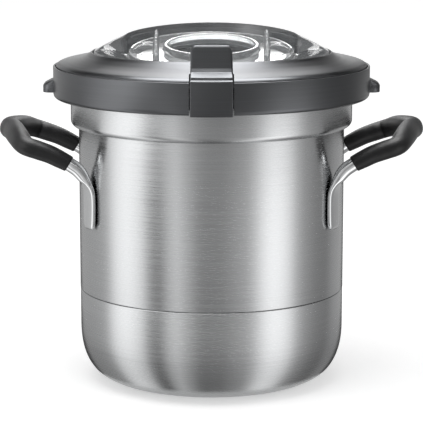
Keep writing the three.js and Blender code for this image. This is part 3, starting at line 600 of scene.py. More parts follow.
# Soft-touch elastomer moulded over the rod: matt black that greys at its crown, 0.7 mm grain.
SOFT_TOUCH = SoftRubber(
    "elastomer_soft_touch", "131314", 0.42, ior=1.5, grain=(0.7, 0.7, 0.7), uneven=0.06, tone=0.1,
    relief=0.015, specular=0.3, sheen=0.05,
)
# Natural rubber of the feet, pressed: dead matt.
PRESSED_RUBBER = SoftRubber(
    "rubber_black_pressed", "151516", 0.7, ior=1.52, grain=(0.9, 0.9, 0.9), uneven=0.08, tone=0.15,
    relief=0.03
)
# Grey silicone of the seals, moulded: slightly greasy, pale.
GREY_SILICONE = SoftRubber(
    "silicone_grey_moulded", "8d9092", 0.45, ior=1.41, grain=(1.4, 1.4, 1.4), uneven=0.06, tone=0.05,
    relief=0.01
)
# Smoke-tinted polycarbonate, injection moulded and clear: dark where it is looked through, bright at edges.
SMOKED_POLYCARBONATE = ClearPlastic(
    "polycarbonate_smoked", "9c9ea0", 0.035, ior=1.58, grain=(9, 9, 9), uneven=0.015, tone=0.02, relief=0.002,
    clear=0.62, haze=0.01,
)
# Water-clear copolyester of the filler cap: no tint, sparkling edges.
CLEAR_COPOLYESTER = ClearPlastic(
    "copolyester_clear", "eef0f1", 0.02, ior=1.54, grain=(7, 7, 90), detail=1.0, uneven=0.01, tone=0.01,
    relief=0.001, clear=0.82, haze=0.04,
)


def place_piece(
    name: str,
    form: Form,
    finish: Finish,
    body: Body,
    stands_for: Sequence[str] = (),
    cuts: Sequence[Form] = (),
    joins: Sequence[Form] = (),
    sharp: float = 34.0,
) -> bpy.types.Object:
    """Makes a piece from a form, dresses it and lets it ride on its body.

    Args:
        name: Name of the piece.
        form: Its shape.
        finish: Its surface.
        body: The body it moves with.
        stands_for: Nodes that the piece stands for.
        cuts: Forms to cut away.
        joins: Forms to join on.
        sharp: Angle in degrees above which an edge stays sharp.

    Returns:
        The piece.
    """
    piece = add_object(name, to_mesh(name, form))
    for extra in joins:
        combine(piece, extra, "UNION")
    for tool in cuts:
        combine(piece, tool, "DIFFERENCE")
    piece.data.shade_smooth()
    piece.data.set_sharp_from_angle(angle=math.radians(sharp))
    piece.data.materials.clear()
    piece.data.materials.append(finish.material())
    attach(piece, body.value)
    if stands_for:
        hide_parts(*stands_for)
    log.info("%s: %d faces, %s", name, len(piece.data.polygons), finish.name)
    return piece


def dress_node(node: str, finish: Finish) -> None:
    """Gives a node of the model, whose shape stays as it is, its finish.

    Args:
        node: Name of the node.
        finish: Its surface.
    """
    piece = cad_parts[node]
    material = finish.material()
    if not piece.material_slots:
        piece.data.materials.append(material)
    for place in piece.material_slots:
        place.link = "OBJECT"
        place.material = material
    log.info("%s: %s", node, finish.name)


# ---------------------------------------------------------------- vessel and base


@dataclass
class Vessel:
    """Deep-drawn bowl with a band, a shoulder and a rolled rim, and the skirt round its base."""

    wall_r: float = 96.0
    sheet: float = 1.2
    seam_z: float = 68.4
    below_seam_r: float = 94.3
    under_z: float = 32.8
    fillet: float = 24.0
    bore: float = 16.3
    shoulder_z: float = 186.6
    shoulder_h: float = 4.6
    band_out: float = 5.66
    rim_r: float = 104.4
    rim_z: float = 212.3
    bead: float = 3.0
    skirt_r: float = 95.85
    skirt_z: float = 1.3
    corner_r: float = 32.1
    corner_h: float = 42.2
    corner_power: float = 2.49
    mouth_r: float = 58.0
    edge: float = 0.6            # rounding on both sides of the seam

    def shoulder(self, inset: float, lift: float) -> Profile:
        """Quarter ellipse that starts level and ends upright.

        Args:
            inset: How far inside the outer face.
            lift: How far above it.

        Returns:
            The shoulder's points.
        """
        return [
            (self.wall_r - inset + self.band_out * y, self.shoulder_z + lift + self.shoulder_h * (1 - x))
            for x, y in arc(0, 0, 1, 0, 90, 16)
        ]

    def shell(self) -> Form:
        """The drawn bowl, with its sheet's thickness.

        Returns:
            The form.
        """
        band_r = self.wall_r + self.band_out
        low = self.rim_z - self.bead
        middle = self.below_seam_r - self.fillet
        outline = [
            (self.bore, self.under_z),
            *arc(middle, self.under_z + self.fillet, self.fillet, -90, 0, 14),
            (self.below_seam_r, self.seam_z),
            *arc(self.wall_r - self.edge, self.seam_z + self.edge, self.edge, -90, 0, 4),
            (self.wall_r, self.shoulder_z - 20),
            *self.shoulder(0, 0),
            (band_r, low - 1),
            *arc(self.rim_r - 1.5, self.rim_z - 1.5, 1.5, -90, 90, 12),
            *arc(band_r - self.sheet + 1, self.rim_z - 1, 1, 90, 180, 4),
            *reversed(self.shoulder(self.sheet, self.sheet)),
            (self.wall_r - self.sheet, self.seam_z + self.sheet),
            (self.below_seam_r - self.sheet, self.seam_z + self.sheet),
            *arc(middle, self.under_z + self.fillet, self.fillet - self.sheet, 0, -90, 14),
            (self.bore, self.under_z + self.sheet),
        ]
        return revolve(outline, 256)

    def corner(self, inset: float, steps: int = 36) -> Profile:
        """Superelliptic bottom corner of the skirt, from its flat bottom up to the wall.

        Args:
            inset: How far inside the outer face.
            steps: Number of chords.

        Returns:
            The corner's points.
        """
        share = 2 / self.corner_power
        return [
            (
                self.skirt_r - self.corner_r + max(0.0, y) ** share * (self.corner_r - inset),
                self.skirt_z + inset + (1 - max(0.0, x) ** share) * (self.corner_h - inset),
            )
            for x, y in arc(0, 0, 1, 0, 90, steps)
        ]

    def skirt(self) -> Form:
        """The skirt, with a rounded edge at the seam and a hem at its mouth.

        Returns:
            The form.
        """
        top = self.seam_z - GAP
        outline = [
            (self.mouth_r, self.skirt_z),
            *self.corner(0),
            *arc(self.skirt_r - self.edge, top - self.edge, self.edge, 0, 90, 4),
            (self.skirt_r - self.sheet, top),
            *reversed(self.corner(self.sheet)),
            (self.mouth_r, self.skirt_z + self.sheet),
        ]
        return revolve(outline, 256)

    def build(self) -> None:
        """Makes and dresses the vessel's pieces."""
        place_piece("bowl_wall", self.shell(), BRUSHED_STAINLESS, Body.BOWL, ["bowl_shell"])
        place_piece("skirt", self.skirt(), BRUSHED_STAINLESS, Body.BOWL, ["base_skirt"])


@dataclass
class Base:
    """What the bowl stands on and what closes it below: feet, cover, screws and heat plate."""

    foot_in: float = 59.0
    foot_out: float = 67.0
    foot_h: float = 1.0
    foot_half: float = 10.5
    foot_angles: tuple[float, ...] = (40, 140, 220, 320)
    screw_angles: tuple[float, ...] = (0, 90, 180, 270)
    screw_circle: float = 40.0
    screw_r: float = 3.5
    screw_low: float = 1.0
    cross: tuple[float, float] = (1.7, 0.35)     # half length and half width of the crossed slots
    cover_z: float = 2.8
    cover_t: float = 2.4
    cover_r: float = 62.88
    cover_bore: float = 18.0

    def foot(self) -> Form:
        """Foot pad: an arc with rounded ends and edges, standing at the front.

        Returns:
            The form.
        """
        middle = (self.foot_in + self.foot_out) / 2
        half = (self.foot_out - self.foot_in) / 2
        span = self.foot_half - math.degrees(half / middle)
        rings = []
        for inset, z in ((0.5, 0.0), (0.15, 0.12), (0.0, 0.35), (0.0, self.foot_h)):
            reach = half - inset
            points: Profile = []
            for side in (1, -1):
                end = side * span - 90
                points += arc(0, 0, middle + side * reach, -side * span - 90, end, 14)
                centre = (middle * math.cos(math.radians(end)), middle * math.sin(math.radians(end)))
                start = end + 90 * (1 - side)
                points += arc(*centre, reach, start, start + 180, 10)[1:-1]
            rings.append([Vector((x, y, z)) for x, y in points])
        return skin(rings)

    def screw(self) -> tuple[Form, list[Form]]:
        """Pan-head screw, and the cross that is cut in its head.

        Returns:
            The screw, and what is cut from it.
        """
        low = self.screw_low
        form = revolve(
            [(0, low), (1.8, low), (2.9, low + 0.3), (self.screw_r, low + 0.9), (self.screw_r, low + 1.5),
             (1.9, low + 1.5), (1.9, 22.5), (0, 23.5)],
            SMALL,
        )
        long, short = self.cross
        cross = [block(-x, x, -y, y, low - 1, low + 0.8) for x, y in ((long, short), (short, long))]
        place = Matrix.Translation((self.screw_circle, 0, 0))
        return form.moved(place), [arm.moved(place) for arm in cross]

    def cover(self) -> tuple[Form, list[Form]]:
        """Moulded cover with a collar round the coupling, and the grooves and holes that are cut in it.

        Returns:
            The cover, and what is cut from it.
        """
        top = self.cover_z + self.cover_t
        collar = self.cover_bore + 2
        form = revolve(rounded([
            (self.cover_bore, self.cover_z, 0.4),
            (self.cover_r, self.cover_z, 0.3),
            (self.cover_r, top, 0.3),
            (collar, top),
            (collar, 13, 0.4),
            (self.cover_bore, 13, 0.4),
        ]))
        low, high = self.cover_z - 1, self.cover_z + 0.5
        grooves = [revolve([(r, low), (r + 1, low), (r + 1, high), (r, high)]) for r in (26, 52)]
        hole = revolve([(0, low), (2.2, low), (2.2, top + 1), (0, top + 1)], SMALL)
        hole = hole.moved(Matrix.Translation((self.screw_circle, 0, 0)))
        holes = [hole.moved(turn_by(angle)) for angle in self.screw_angles]
        return form, grooves + holes

    def build(self) -> None:
        """Makes and dresses the pieces under the bowl."""
        for i, angle in enumerate(self.foot_angles, 1):
            foot = self.foot().moved(turn_by(angle))
            place_piece(f"foot_{i}", foot, PRESSED_RUBBER, Body.BOWL, [f"foot_pad_{i}"])
        form, cross = self.screw()
        for i, angle in enumerate(self.screw_angles, 1):
            turn = turn_by(angle)
            place_piece(
                f"screw_{i}", form.moved(turn), ZINC_PLATED_STEEL, Body.BOWL, [f"base_screw_{i}"],
                cuts=[arm.moved(turn) for arm in cross],
            )
        form, cuts = self.cover()
        place_piece("cover", form, BLACK_NYLON, Body.BOWL, ["base_cover"], cuts=cuts)
        dress_node("heat_plate", CAST_ALUMINIUM)


# ---------------------------------------------------------------- drive line and blades


@dataclass
class DriveLine:
    """Bearings in their housing, the shaft through them and the coupling under the bowl."""

    shaft_r: float = 5.0
    housing_r: float = 14.4
    shank_r: float = 16.0
    bearing_bore: float = 11.3
    bottom: float = 14.0
    top: float = 56.0
    flange_z: float = 34.3
    coupling_z: float = 3.6
    coupling_top: float = 12.5
    lobes: int = 6
    lobe_r: float = 14.0
    lobe_in: float = 1.6         # half the depth of the hollows between lobes
    nut_r: float = 21.5
    nut_flange_r: float = 22.5

    def housing(self) -> Form:
        """Turned housing with a flange on the floor and a rounded root.

        Returns:
            The form.
        """
        bore = self.bearing_bore
        return revolve(rounded([
            (bore, self.bottom, 0.4), (self.shank_r, self.bottom, 0.5), (self.shank_r, self.flange_z),
            (self.shank_r + 7, self.flange_z, 0.4), (self.shank_r + 7, self.flange_z + 2, 0.6),
            (self.housing_r, self.flange_z + 2, 3), (self.housing_r, self.top, 1.2), (bore, self.top, 0.3),
            (bore, 44.1), (8, 44.1), (8, 21.6), (bore, 21.6),
        ]), 96)

    def shaft(self) -> Form:
        """Shaft: round in its bearings, hexagonal where it carries the hub.

        Returns:
            The form.
        """
        return skin([
            level_ring(lambda a, r=radius, six=hexagon: r * hexagonal(a) if six else r, z, 48)
            for z, radius, hexagon in (
                (self.coupling_z, 4.4, False), (self.coupling_z + 0.6, self.shaft_r, False),
                (58.1, self.shaft_r, False), (58.3, self.shaft_r, True), (83.0, self.shaft_r, True),
                (83.7, 4.3, True),
            )
        ])

    def coupling(self) -> Form:
        """Star coupling with rounded lobes.

        Returns:
            The form.
        """
        low = self.coupling_z
        return skin([
            level_ring(
                lambda a, r=self.lobe_r - inset: r - self.lobe_in * (1 - math.cos(self.lobes * a)), z, 144
            )
            for inset, z in ((0.6, low), (0.0, low + 0.7), (0.0, self.coupling_top))
        ])

    def nut(self) -> Form:
        """Hexagonal flange nut with a chamfered crown.

        Returns:
            The form.
        """
        flats, flange = self.nut_r, self.nut_flange_r
        return skin([
            level_ring(lambda a, r=radius: r if r == flange else min(r, flats * hexagonal(a)), z, 96)
            for z, radius in ((24.5, 19.6), (25.3, flats), (30.4, flats), (30.5, flange), (32.5, flange))
        ])

    def build(self) -> None:
        """Makes and dresses the drive line's pieces."""
        bore = revolve([(0, 20), (16.3, 20), (16.3, 40), (0, 40)], 96)
        place_piece(
            "lock_nut", self.nut(), ZINC_PLATED_STEEL, Body.BOWL, ["housing_nut"], cuts=[bore]
        )
        place_piece("housing", self.housing(), POLISHED_STAINLESS, Body.BOWL, ["bearing_housing"])
        place_piece("shaft", self.shaft(), POLISHED_STAINLESS, Body.DRIVE, ["drive_shaft"])
        hole = revolve([(0, 0), (5.3, 0), (5.3, 20), (0, 20)], SMALL)
        place_piece(
            "coupling", self.coupling(), BLACK_NYLON, Body.DRIVE, ["drive_coupling"],
            cuts=[hole],
        )
        for node in ("lower_bearing", "upper_bearing", "retaining_clip"):
            dress_node(node, ZINC_PLATED_STEEL)
        dress_node("shaft_seal", PRESSED_RUBBER)


@dataclass
class BladeSet:
    """Bell-shaped hub with two pairs of blades."""

    cavity_r: float = 15.2
    hub_r: float = 20.5
    low: float = 40.4
    ceiling: float = 58.5
    top: float = 92.0
    reach: float = 74.0
    chord: float = 15.0
    thickness: float = 2.0
    sweep: float = -22.0         # how far the tip lies behind the root, in degrees
    tip_start: float = 0.93      # share of the reach where the tip starts to round off

    def hub(self) -> tuple[Form, list[Form]]:
        """The hub with its ledges, and the hexagon that is cut in it.

        Returns:
            The hub, and what is cut from it.
        """
        ledge = self.hub_r + 2
        outline = rounded([
            (self.cavity_r, self.low, 0.5), (ledge, self.low, 0.3), (ledge, self.low + 0.7),
            (self.hub_r, self.low + 0.7), (self.hub_r, 43.7), (ledge, 43.7), (ledge, 44.4),
            (self.hub_r, 44.4), (self.hub_r, 47.0), (ledge, 47.0, 0.3), (self.hub_r, 49.7, 2),
            (16.8, self.ceiling, 6), (12.71, self.top - 12, 10), (12.3, self.top - 5, 3),
            (9.2, self.top - 1.4, 3), (0, self.top), (0, self.ceiling), (self.cavity_r, self.ceiling, 1),
        ], 8)
        hexagon = arc(0, 0, 5.3, 0, 300, 5)
        return revolve(outline, 96), [prism(hexagon, self.ceiling - 1, 84.0)]

    def arm(self, low: float, lift: float) -> Form:
        """One blade: chord, sweep and height change on its way out, and its leading edge is ground.

        Args:
            low: Height of its root.
            lift: How much higher its tip is.

        Returns:
            The form.
        """
        rings = []
        root = self.hub_r + 1.6
        for t in spread(29):
            turn = turn_by(self.sweep * t * t)
            tip = max(0.0, (t - self.tip_start) / (1 - self.tip_start))
            half = self.chord * (0.5 - 0.3 * t * t) * (1 - 0.55 * tip ** 2)
            base = low + lift * smooth(1.25 * t)
            bevel = 0.42 * half
            section = [
                (-half, 0.3), (-half + 0.25, 0), (half - bevel, 0), (half, 0.3), (half - bevel, 1),
                (-half + 0.25, 1), (-half, 0.7),
            ]
            rings.append([
                turn @ Vector((root + t * (self.reach - root), along, base + up * self.thickness))
                for along, up in section
            ])
        return skin(rings)

    def blades(self, low: float, lift: float, turn: float) -> tuple[Form, list[Form]]:
        """Collar of a pair of blades, and its two arms.

        Args:
            low: Height of the collar.
            lift: How much higher the tips are.
            turn: Turn in degrees.

        Returns:
            The collar, and the arms to join on.
        """
        inside, outside = self.hub_r + GAP, self.hub_r + 3.5
        high = low + self.thickness
        section = rounded([(inside, low), (outside, low, 0.3), (outside, high, 0.3), (inside, high)])
        collar = revolve(section, 96)
        return collar, [self.arm(low, lift).moved(turn_by(turn + half)) for half in (0, 180)]

    def build(self) -> None:
        """Makes and dresses the blade set."""
        form, cuts = self.hub()
        place_piece("hub", form, BLACK_NYLON, Body.BLADES, ["blade_hub"], cuts=cuts)
        for name, node, low, lift, turn in (
            ("blade_pair_low", "lower_blades", 41.4, -3.6, 20),
            ("blade_pair_high", "upper_blades", 44.7, 13.0, 110),
        ):
            collar, arms = self.blades(low, lift, turn)
            place_piece(name, collar, GROUND_BLADE_STEEL, Body.BLADES, [node], joins=arms, sharp=20)


# ---------------------------------------------------------------- handles


@dataclass
class Handle:
    """Bent steel rod, flattened and welded on at both ends, with a soft grip moulded round its middle."""

    side: Side
    leg_y: float = 46.0
    pad_x: float = 86.53
    pad_z: float = 118.0
    pad_h: float = 30.5
    pad_w: float = 16.0
    pad_t: float = 3.4
    out: float = 59.1
    up: float = 35.7
    rod_r: float = 4.9
    core_r: float = 4.0
    spans: int = 14              # between the foot of a pad and the middle of the grip
    grip_start: int = 7
    steps: int = 8               # rings in a span

    def stations(self) -> list[list[float]]:
        """Rows of x, y, z, half width, half thickness, grip width, grip thickness, turn, squareness.

        Returns:
            The rows, from one pad to the other.
        """
        half = []
        rod, core = self.rod_r, self.core_r
        # the pad, as shares of its height, width and thickness, with its foot thinned to an edge
        for height, wide, thick in ((0, 0.3, 0.15), (0.06, 0.4, 0.47), (0.22, 0.5, 0.5), (0.8, 0.5, 0.5)):
            half.append([0, 1, height * self.pad_h, wide * self.pad_w, thick * self.pad_t, 5.6, 5.6, 0, 4])
        # the arm, with its reach, side and rise as shares of those of the whole handle
        for out, across, rise, wide, thick, grip_a, grip_b, turn, power in (
            (0.025, 1, 0.029, 6.4, 2.38, 5.6, 5.6, 0.2, 3.4),
            (0.065, 1, 0.182, 5.15, 4.21, 5.6, 5.6, 0.7, 2.3),
            (0.133, 1, 0.331, rod, rod, 5.7, 5.7, 1, 2),
            (0.234, 1, 0.451, rod, rod, 5.8, 5.8, 1, 2),
            (0.354, 1, 0.558, core, core, 6.2, 6.3, 1, 2),
            (0.47, 1, 0.652, core, core, 6.2, 6.5, 1, 2),
            (0.606, 1, 0.733, core, core, 6.5, 6.7, 1, 2.1),
            (0.759, 0.966, 0.821, core, core, 7, 6.8, 1, 2.2),
            (0.855, 0.673, 0.922, core, core, 7.5, 7.4, 1, 2.2),
            (0.943, 0.258, 0.988, core, core, 7.6, 7.6, 1, 2.2),
            (1, 0, 1, core, core, 7.7, 7.7, 1, 2.2),
        ):
            height = self.pad_h + rise * self.up
            half.append([out * self.out, across, height, wide, thick, grip_a, grip_b, turn, power])
        rows = []
        for sign, part in ((-1, half), (1, half[-2::-1])):
            for out, across, height, *rest in part:
                rows.append([self.pad_x + out, sign * across * self.leg_y, self.pad_z + height, *rest])
        return rows

    def ring(
        self, place: float, size: Callable[[list[float]], tuple[float, float]], sides: int
    ) -> list[Vector]:
        """Ring of the handle's skin.

        Args:
            place: Station number, with its fraction.
            size: Half width and half thickness from a station's row.
            sides: Points round the ring.

        Returns:
            The ring's points.
        """
        rows = self.stations()
        row = spline(rows, place)
        centre = Vector(row[:3])
        ahead = Vector(spline(rows, min(2 * self.spans, place + 0.04))[:3])
        behind = Vector(spline(rows, max(0, place - 0.04))[:3])
        along = (ahead - behind).normalized()
        sign = -1 if place < self.spans else 1
        inward = Vector((-self.pad_x, -sign * self.leg_y, 0)).normalized()
        lifted = Vector((-0.35, 0, 1)).normalized()
        across = inward.lerp(lifted, min(1, max(0, row[7])))
        across = (across - along * across.dot(along)).normalized()
        wide = along.cross(across)
        a, b = size(row)
        share = 2 / row[8]
        points = []
        for i in range(sides):
            t = 2 * math.pi * i / sides
            c, s = math.cos(t), math.sin(t)
            x = a * math.copysign(abs(c) ** share, c)
            y = b * math.copysign(abs(s) ** share, s)
            points.append(centre + wide * x + across * y)
        return points

    def bracket(self) -> Form:
        """The rod and its two pads.

        Returns:
            The form.
        """
        count = 2 * self.spans * self.steps
        rings = [self.ring(i / self.steps, lambda row: (row[3], row[4]), 32) for i in range(count + 1)]
        return skin(rings)

    def grip(self) -> Form:
        """The grip, with a rounded lip where the rod enters it.

        Returns:
            The form.
        """
        first, last = self.grip_start, 2 * self.spans - self.grip_start
        ends = [(0.0, 0.82), (0.0, 0.9), (0.03, 0.95), (0.08, 0.99)]

        def lip(place: float, share: float) -> list[Vector]:
            """Ring of a lip, at a share of the grip's size."""
            return self.ring(place, lambda row: (row[5] * share, row[6] * share), 48)

        rings = [lip(first + t, share) for t, share in ends]
        count = (last - first) * self.steps
        for i in range(1, count):
            rings.append(self.ring(first + i / self.steps, lambda row: (row[5], row[6]), 48))
        rings += [lip(last - t, share) for t, share in reversed(ends)]
        return skin(rings)

    def build(self) -> None:
        """Makes and dresses the handle."""
        name = self.side.name.lower()
        turn = Matrix.Rotation(self.side.value, 4, "Z")
        place_piece(
            f"bracket_{name}", self.bracket().moved(turn), POLISHED_STAINLESS, Body.BOWL,
            [f"handle_bracket_{name}"],
        )
        grip = self.grip().moved(turn)
        place_piece(f"grip_{name}", grip, SOFT_TOUCH, Body.BOWL, [f"handle_grip_{name}"])


# ---------------------------------------------------------------- lid


@dataclass
class Lid:
    """Ring with a slot for the latch and a lug on each side, its top ring, the window and the seals."""

    ring_r: float = 114.05
    low: float = 207.6
    edge_z: float = 230.0
    corner: float = 3.5
    lip: float = 1.55
    shelf_z: float = 228.4
    inside_r: float = 105.3
    sight_r: float = 85.1
    sight_z: float = 239.8
    flange_r: float = 90.7
    flange_z: float = 229.3
    saddle_h: float = 1.2
    lip_h: float = 0.2
    dome_h: float = 24.0
    dome_power: float = 1.92
    crest: float = 3.5
    wall: float = 2.2
    tilt: float = math.radians(7.4)
    pocket_z: float = 238.0
    pocket_r: float = 60.4
    back_slope: float = 1.6
    front_slope: float = 28.0
    well_r: float = 35.5
    slot_half: float = 15.2
    slot_in: float = 103.25
    slot_room: float = 2.3       # how much deeper the slot is in the top ring, for the swinging lever
    lug_reach: float = 7.15
    lug_w: float = 22.0
    fullness: float = 12.8       # sets the top ring's bulge at front and back, about a tenth of it
    turn_at: float = -0.02       # cosine of the angle where the pocket's slope starts to widen
    turn_over: float = 0.14      # how much the cosine grows until it is widest

    def saddle(self, angle: float) -> float:
        """How much higher the lid runs towards front and back."""
        return self.saddle_h * math.cos(angle) ** 2

    def ring(self) -> Form:
        """Side wall, shelf, web and inner skirt of the lid ring.

        Returns:
            The form.
        """
        outer, inner = self.ring_r, self.ring_r - 3.4
        return revolve(rounded([
            (self.inside_r, self.low, 0.4), (outer, self.low, self.corner), (outer, self.edge_z, 0.45),
            (outer - self.lip, self.edge_z, 0.3), (outer - self.lip, self.shelf_z),
            (inner - 2.4, self.shelf_z), (inner - 2.4, self.shelf_z - 2), (inner, self.shelf_z - 4.4),
            (inner, self.low + 3), (107.8, self.low + 3), (107.8, 220.5), (91.0, 220.5),
            (91.0, 229.0), (88.2, 229.0), (88.2, 217.5), (self.inside_r, 217.5),
        ], 8), 256)

    def lug(self, turn: float) -> Form:
        """Lug on the ring's side: a plate, rounded in plan, under a sloping gusset.

        Args:
            turn: Turn about the lid's axis, in radians.

        Returns:
            The form.
        """
        root, tip, half = self.ring_r - 1.2, self.ring_r + self.lug_reach, self.lug_w / 2
        low = self.low + 3.4
        rings = []
        for inset, height in ((0.6, 0.0), (0.15, 0.15), (0.0, 0.6), (0.0, 4.9), (0.25, 5.6)):
            rings.append(self.lug_ring(root, tip - inset, half - inset, low + height))
        for reach, height in ((0.8, 6.2), (1.8, 6.9), (4, 7.9), (6.6, 9.0), (7.1, 9.5)):
            rings.append(self.lug_ring(root, tip - reach, half - 0.25 - 0.12 * reach, low + height))
        return skin(rings).moved(Matrix.Rotation(turn, 4, "Z"))

    def lug_ring(self, root: float, tip: float, half: float, height: float) -> list[Vector]:
        """One level of a lug, from the ring's side out to its tip.

        Args:
            root: Radius where it starts.
            tip: Radius of its tip.
            half: Half its width.
            height: Its height.

        Returns:
            The level's points.
        """
        radius = min(5.0, 0.8 * (tip - root))
        outline = [(root, -half), *arc(tip - radius, radius - half, radius, -90, 0, 8)]
        outline += [*arc(tip - radius, half - radius, radius, 0, 90, 8), (root, half)]
        return [Vector((x, y, height)) for x, y in outline]

    def top_ring(self) -> Form:
        """Top ring: a sloping face that rises to the window, higher at front and back.

        Returns:
            The form.
        """
        outer, inner = self.ring_r - self.lip - 0.7, self.sight_r + 0.6
        # shares of the way in and of the way up
        stations = [
            (0.0, 0.094), (0.08, 0.234), (0.23, 0.328), (0.46, 0.43),
            (0.65, 0.54), (0.83, 0.73), (0.96, 0.965),
        ]
        crown = self.sight_z - self.edge_z + 0.2

        def section(angle: float) -> list[Vector]:
            """Section of the ring at an angle.

            Args:
                angle: Angle from the front, in radians.

            Returns:
                The section's points.
            """
            low = self.shelf_z + GAP
            points = [(self.flange_r + 0.6, low), (outer, low), (outer, self.edge_z + 0.5)]
            for i in range(6 * (len(stations) - 1) + 1):
                share, height = spline(stations, i / 6)
                full = self.fullness * share ** 3 * (1 - share) * (1 - math.sin(angle) ** 4)
                radius = outer - 0.35 * (i == 0) - share * (outer - inner)
                points.append((radius, self.edge_z + height * crown + self.saddle(angle) * share + full))
            high = self.edge_z + 0.97 * crown + self.saddle(angle)
            points += [(inner + 0.5, high + 0.05), (inner + 0.15, high - 0.1), (inner, high - 0.5)]
            points += [(inner, 231.6), (self.flange_r + 0.6, 231.6)]
            return [on_ring(r, angle, z) for r, z in points]

        return ring_of(section, 256)

    def height(self, r: float, angle: float) -> float:
        """Height of the window's face: a dome with a leaning round pocket that opens to the front.

        Args:
            r: Radius.
            angle: Angle from the front, in radians.

        Returns:
            The height.
        """
        share = r / self.sight_r
        crest = 4 * self.crest * share ** 2 * (1 - share ** 2) * ((1 - math.cos(angle)) / 2) ** 3
        rise = self.dome_h * (1 - share ** self.dome_power) + crest
        dome = self.sight_z + self.lip_h + rise + self.saddle(angle) * share ** 2
        pocket = self.pocket_z - math.tan(self.tilt) * r * math.cos(angle)
        return dome - (dome - pocket) * (1 - smooth((r - self.pocket_r) / self.slope(angle)))

    def slope(self, angle: float) -> float:
        """Width of the slope between dome and pocket: narrow at the back, wide at the front."""
        share = smooth((math.cos(angle) - self.turn_at) / self.turn_over)
        return self.back_slope + (self.front_slope - self.back_slope) * share

    def under(self, r: float, angle: float) -> float:
        """Height of the window's inner face, one wall thickness from the outer one."""
        steps = [i / 5 for i in range(-5, 6)]
        return min(self.height(r + s * self.wall, angle) - self.wall * math.sqrt(1 - s * s) for s in steps)

    def lean(self, r: float, angle: float, z: float) -> Vector:
        """Point given about the leaning axis of the cap."""
        return lean_matrix(self.tilt, self.pocket_z) @ on_ring(r, angle, z)

    def window(self) -> Form:
        """The window: flange, dome, pocket floor, and the collar that the cap's well hangs in.

        Returns:
            The form.
        """
        hole = self.well_r

        def section(angle: float) -> list[Vector]:
            """Section of the window at an angle.

            Args:
                angle: Angle from the front, in radians.

            Returns:
                The section's points.
            """
            slope = min(self.slope(angle), 0.75 * (self.sight_r - self.pocket_r))
            edge = self.height(self.sight_r, angle)
            first = self.pocket_r + slope
            far = [first + t * (self.sight_r - 1.2 - first) for t in spread(22)]
            near = [self.pocket_r + t * slope for t in spread(18)]
            flange, sight = self.flange_r, self.sight_r
            outer = [(flange, self.flange_z), (flange, self.flange_z + 2), (sight, self.flange_z + 2)]
            outer += [(sight, edge - 1.4), (sight - 0.1, edge - 0.7), (sight - 0.45, edge - 0.2)]
            outer += [(r, self.height(r, angle)) for r in far[::-1] + near[-2::-1]]
            points = [on_ring(r, angle, z) for r, z in outer]
            for r, z in (
                (50, 0), (hole + 2.7, 0), (hole + 2.4, -0.3), (hole + 2.4, -2.4), (hole + 0.3, -2.4),
                (hole, -2.7), (hole, -13.6), (hole + 0.4, -14), (hole + 3.6, -14), (hole + 4, -13.6),
                (hole + 4, -3.2), (50, -self.wall),
            ):
                points.append(self.lean(r, angle, z))
            inner = [self.pocket_r - 1.5 + t * (slope + 3) for t in spread(20)]
            start = self.pocket_r + 1.5 + slope
            outward = [start + t * (self.sight_r - self.wall - start) for t in spread(16)][1:]
            for r in inner + outward:
                points.append(on_ring(r, angle, self.under(r, angle)))
            points.append(on_ring(self.sight_r - self.wall, angle, self.flange_z))
            return points

        return ring_of(section, 192)

    def seal(self) -> Form:
        """Ring between rim and lid, with a lip that hangs inside the bowl.

        Returns:
            The form.
        """
        return revolve(rounded([
            (98.26, 208.3, 0.6), (100.06, 208.3, 0.6), (100.06, 212.6, 0.4), (104.0, 212.6, 0.4),
            (104.0, 217.2, 0.4), (98.26, 217.2, 0.4),
        ]))

    def cap_seal(self) -> Form:
        """Ring in the rebate round the filler opening."""
        section = [(34.9, -2.1, 0.2), (37.6, -2.1, 0.2), (37.6, -0.7, 0.3), (36.6, 0, 0.3), (34.9, 0, 0.3)]
        return revolve(rounded(section)).moved(lean_matrix(self.tilt, self.pocket_z))

    def build(self) -> None:
        """Makes and dresses the lid's pieces."""
        half, front, low, high = self.slot_half, -self.ring_r - 2, self.low - 1, self.edge_z + 20
        slots = [
            block(-half, half, front, room - self.slot_in, low, high) for room in (0, self.slot_room)
        ]
        place_piece("ring", self.ring(), LACQUERED_NYLON, Body.LID, ["lid_ring"], cuts=slots[:1])
        for name, turn in (("lug_right", 0.0), ("lug_left", math.pi)):
            place_piece(name, self.lug(turn), LACQUERED_NYLON, Body.LID)
        place_piece(
            "top_ring", self.top_ring(), LACQUERED_NYLON, Body.LID, ["lid_top_ring"], cuts=slots[1:]
        )
        place_piece("window", self.window(), SMOKED_POLYCARBONATE, Body.LID, ["lid_window"])
        place_piece("rim_seal", self.seal(), GREY_SILICONE, Body.LID, ["lid_seal"])
        place_piece("filler_seal", self.cap_seal(), GREY_SILICONE, Body.LID, ["cap_seal"])
        # the latch pin's near-black colour is painted shade for its ends in the slot
        dress_node("latch_pin", PIN_STEEL_PAINTED_SHADE)
        dress_node("latch_spring", ZINC_PLATED_STEEL)


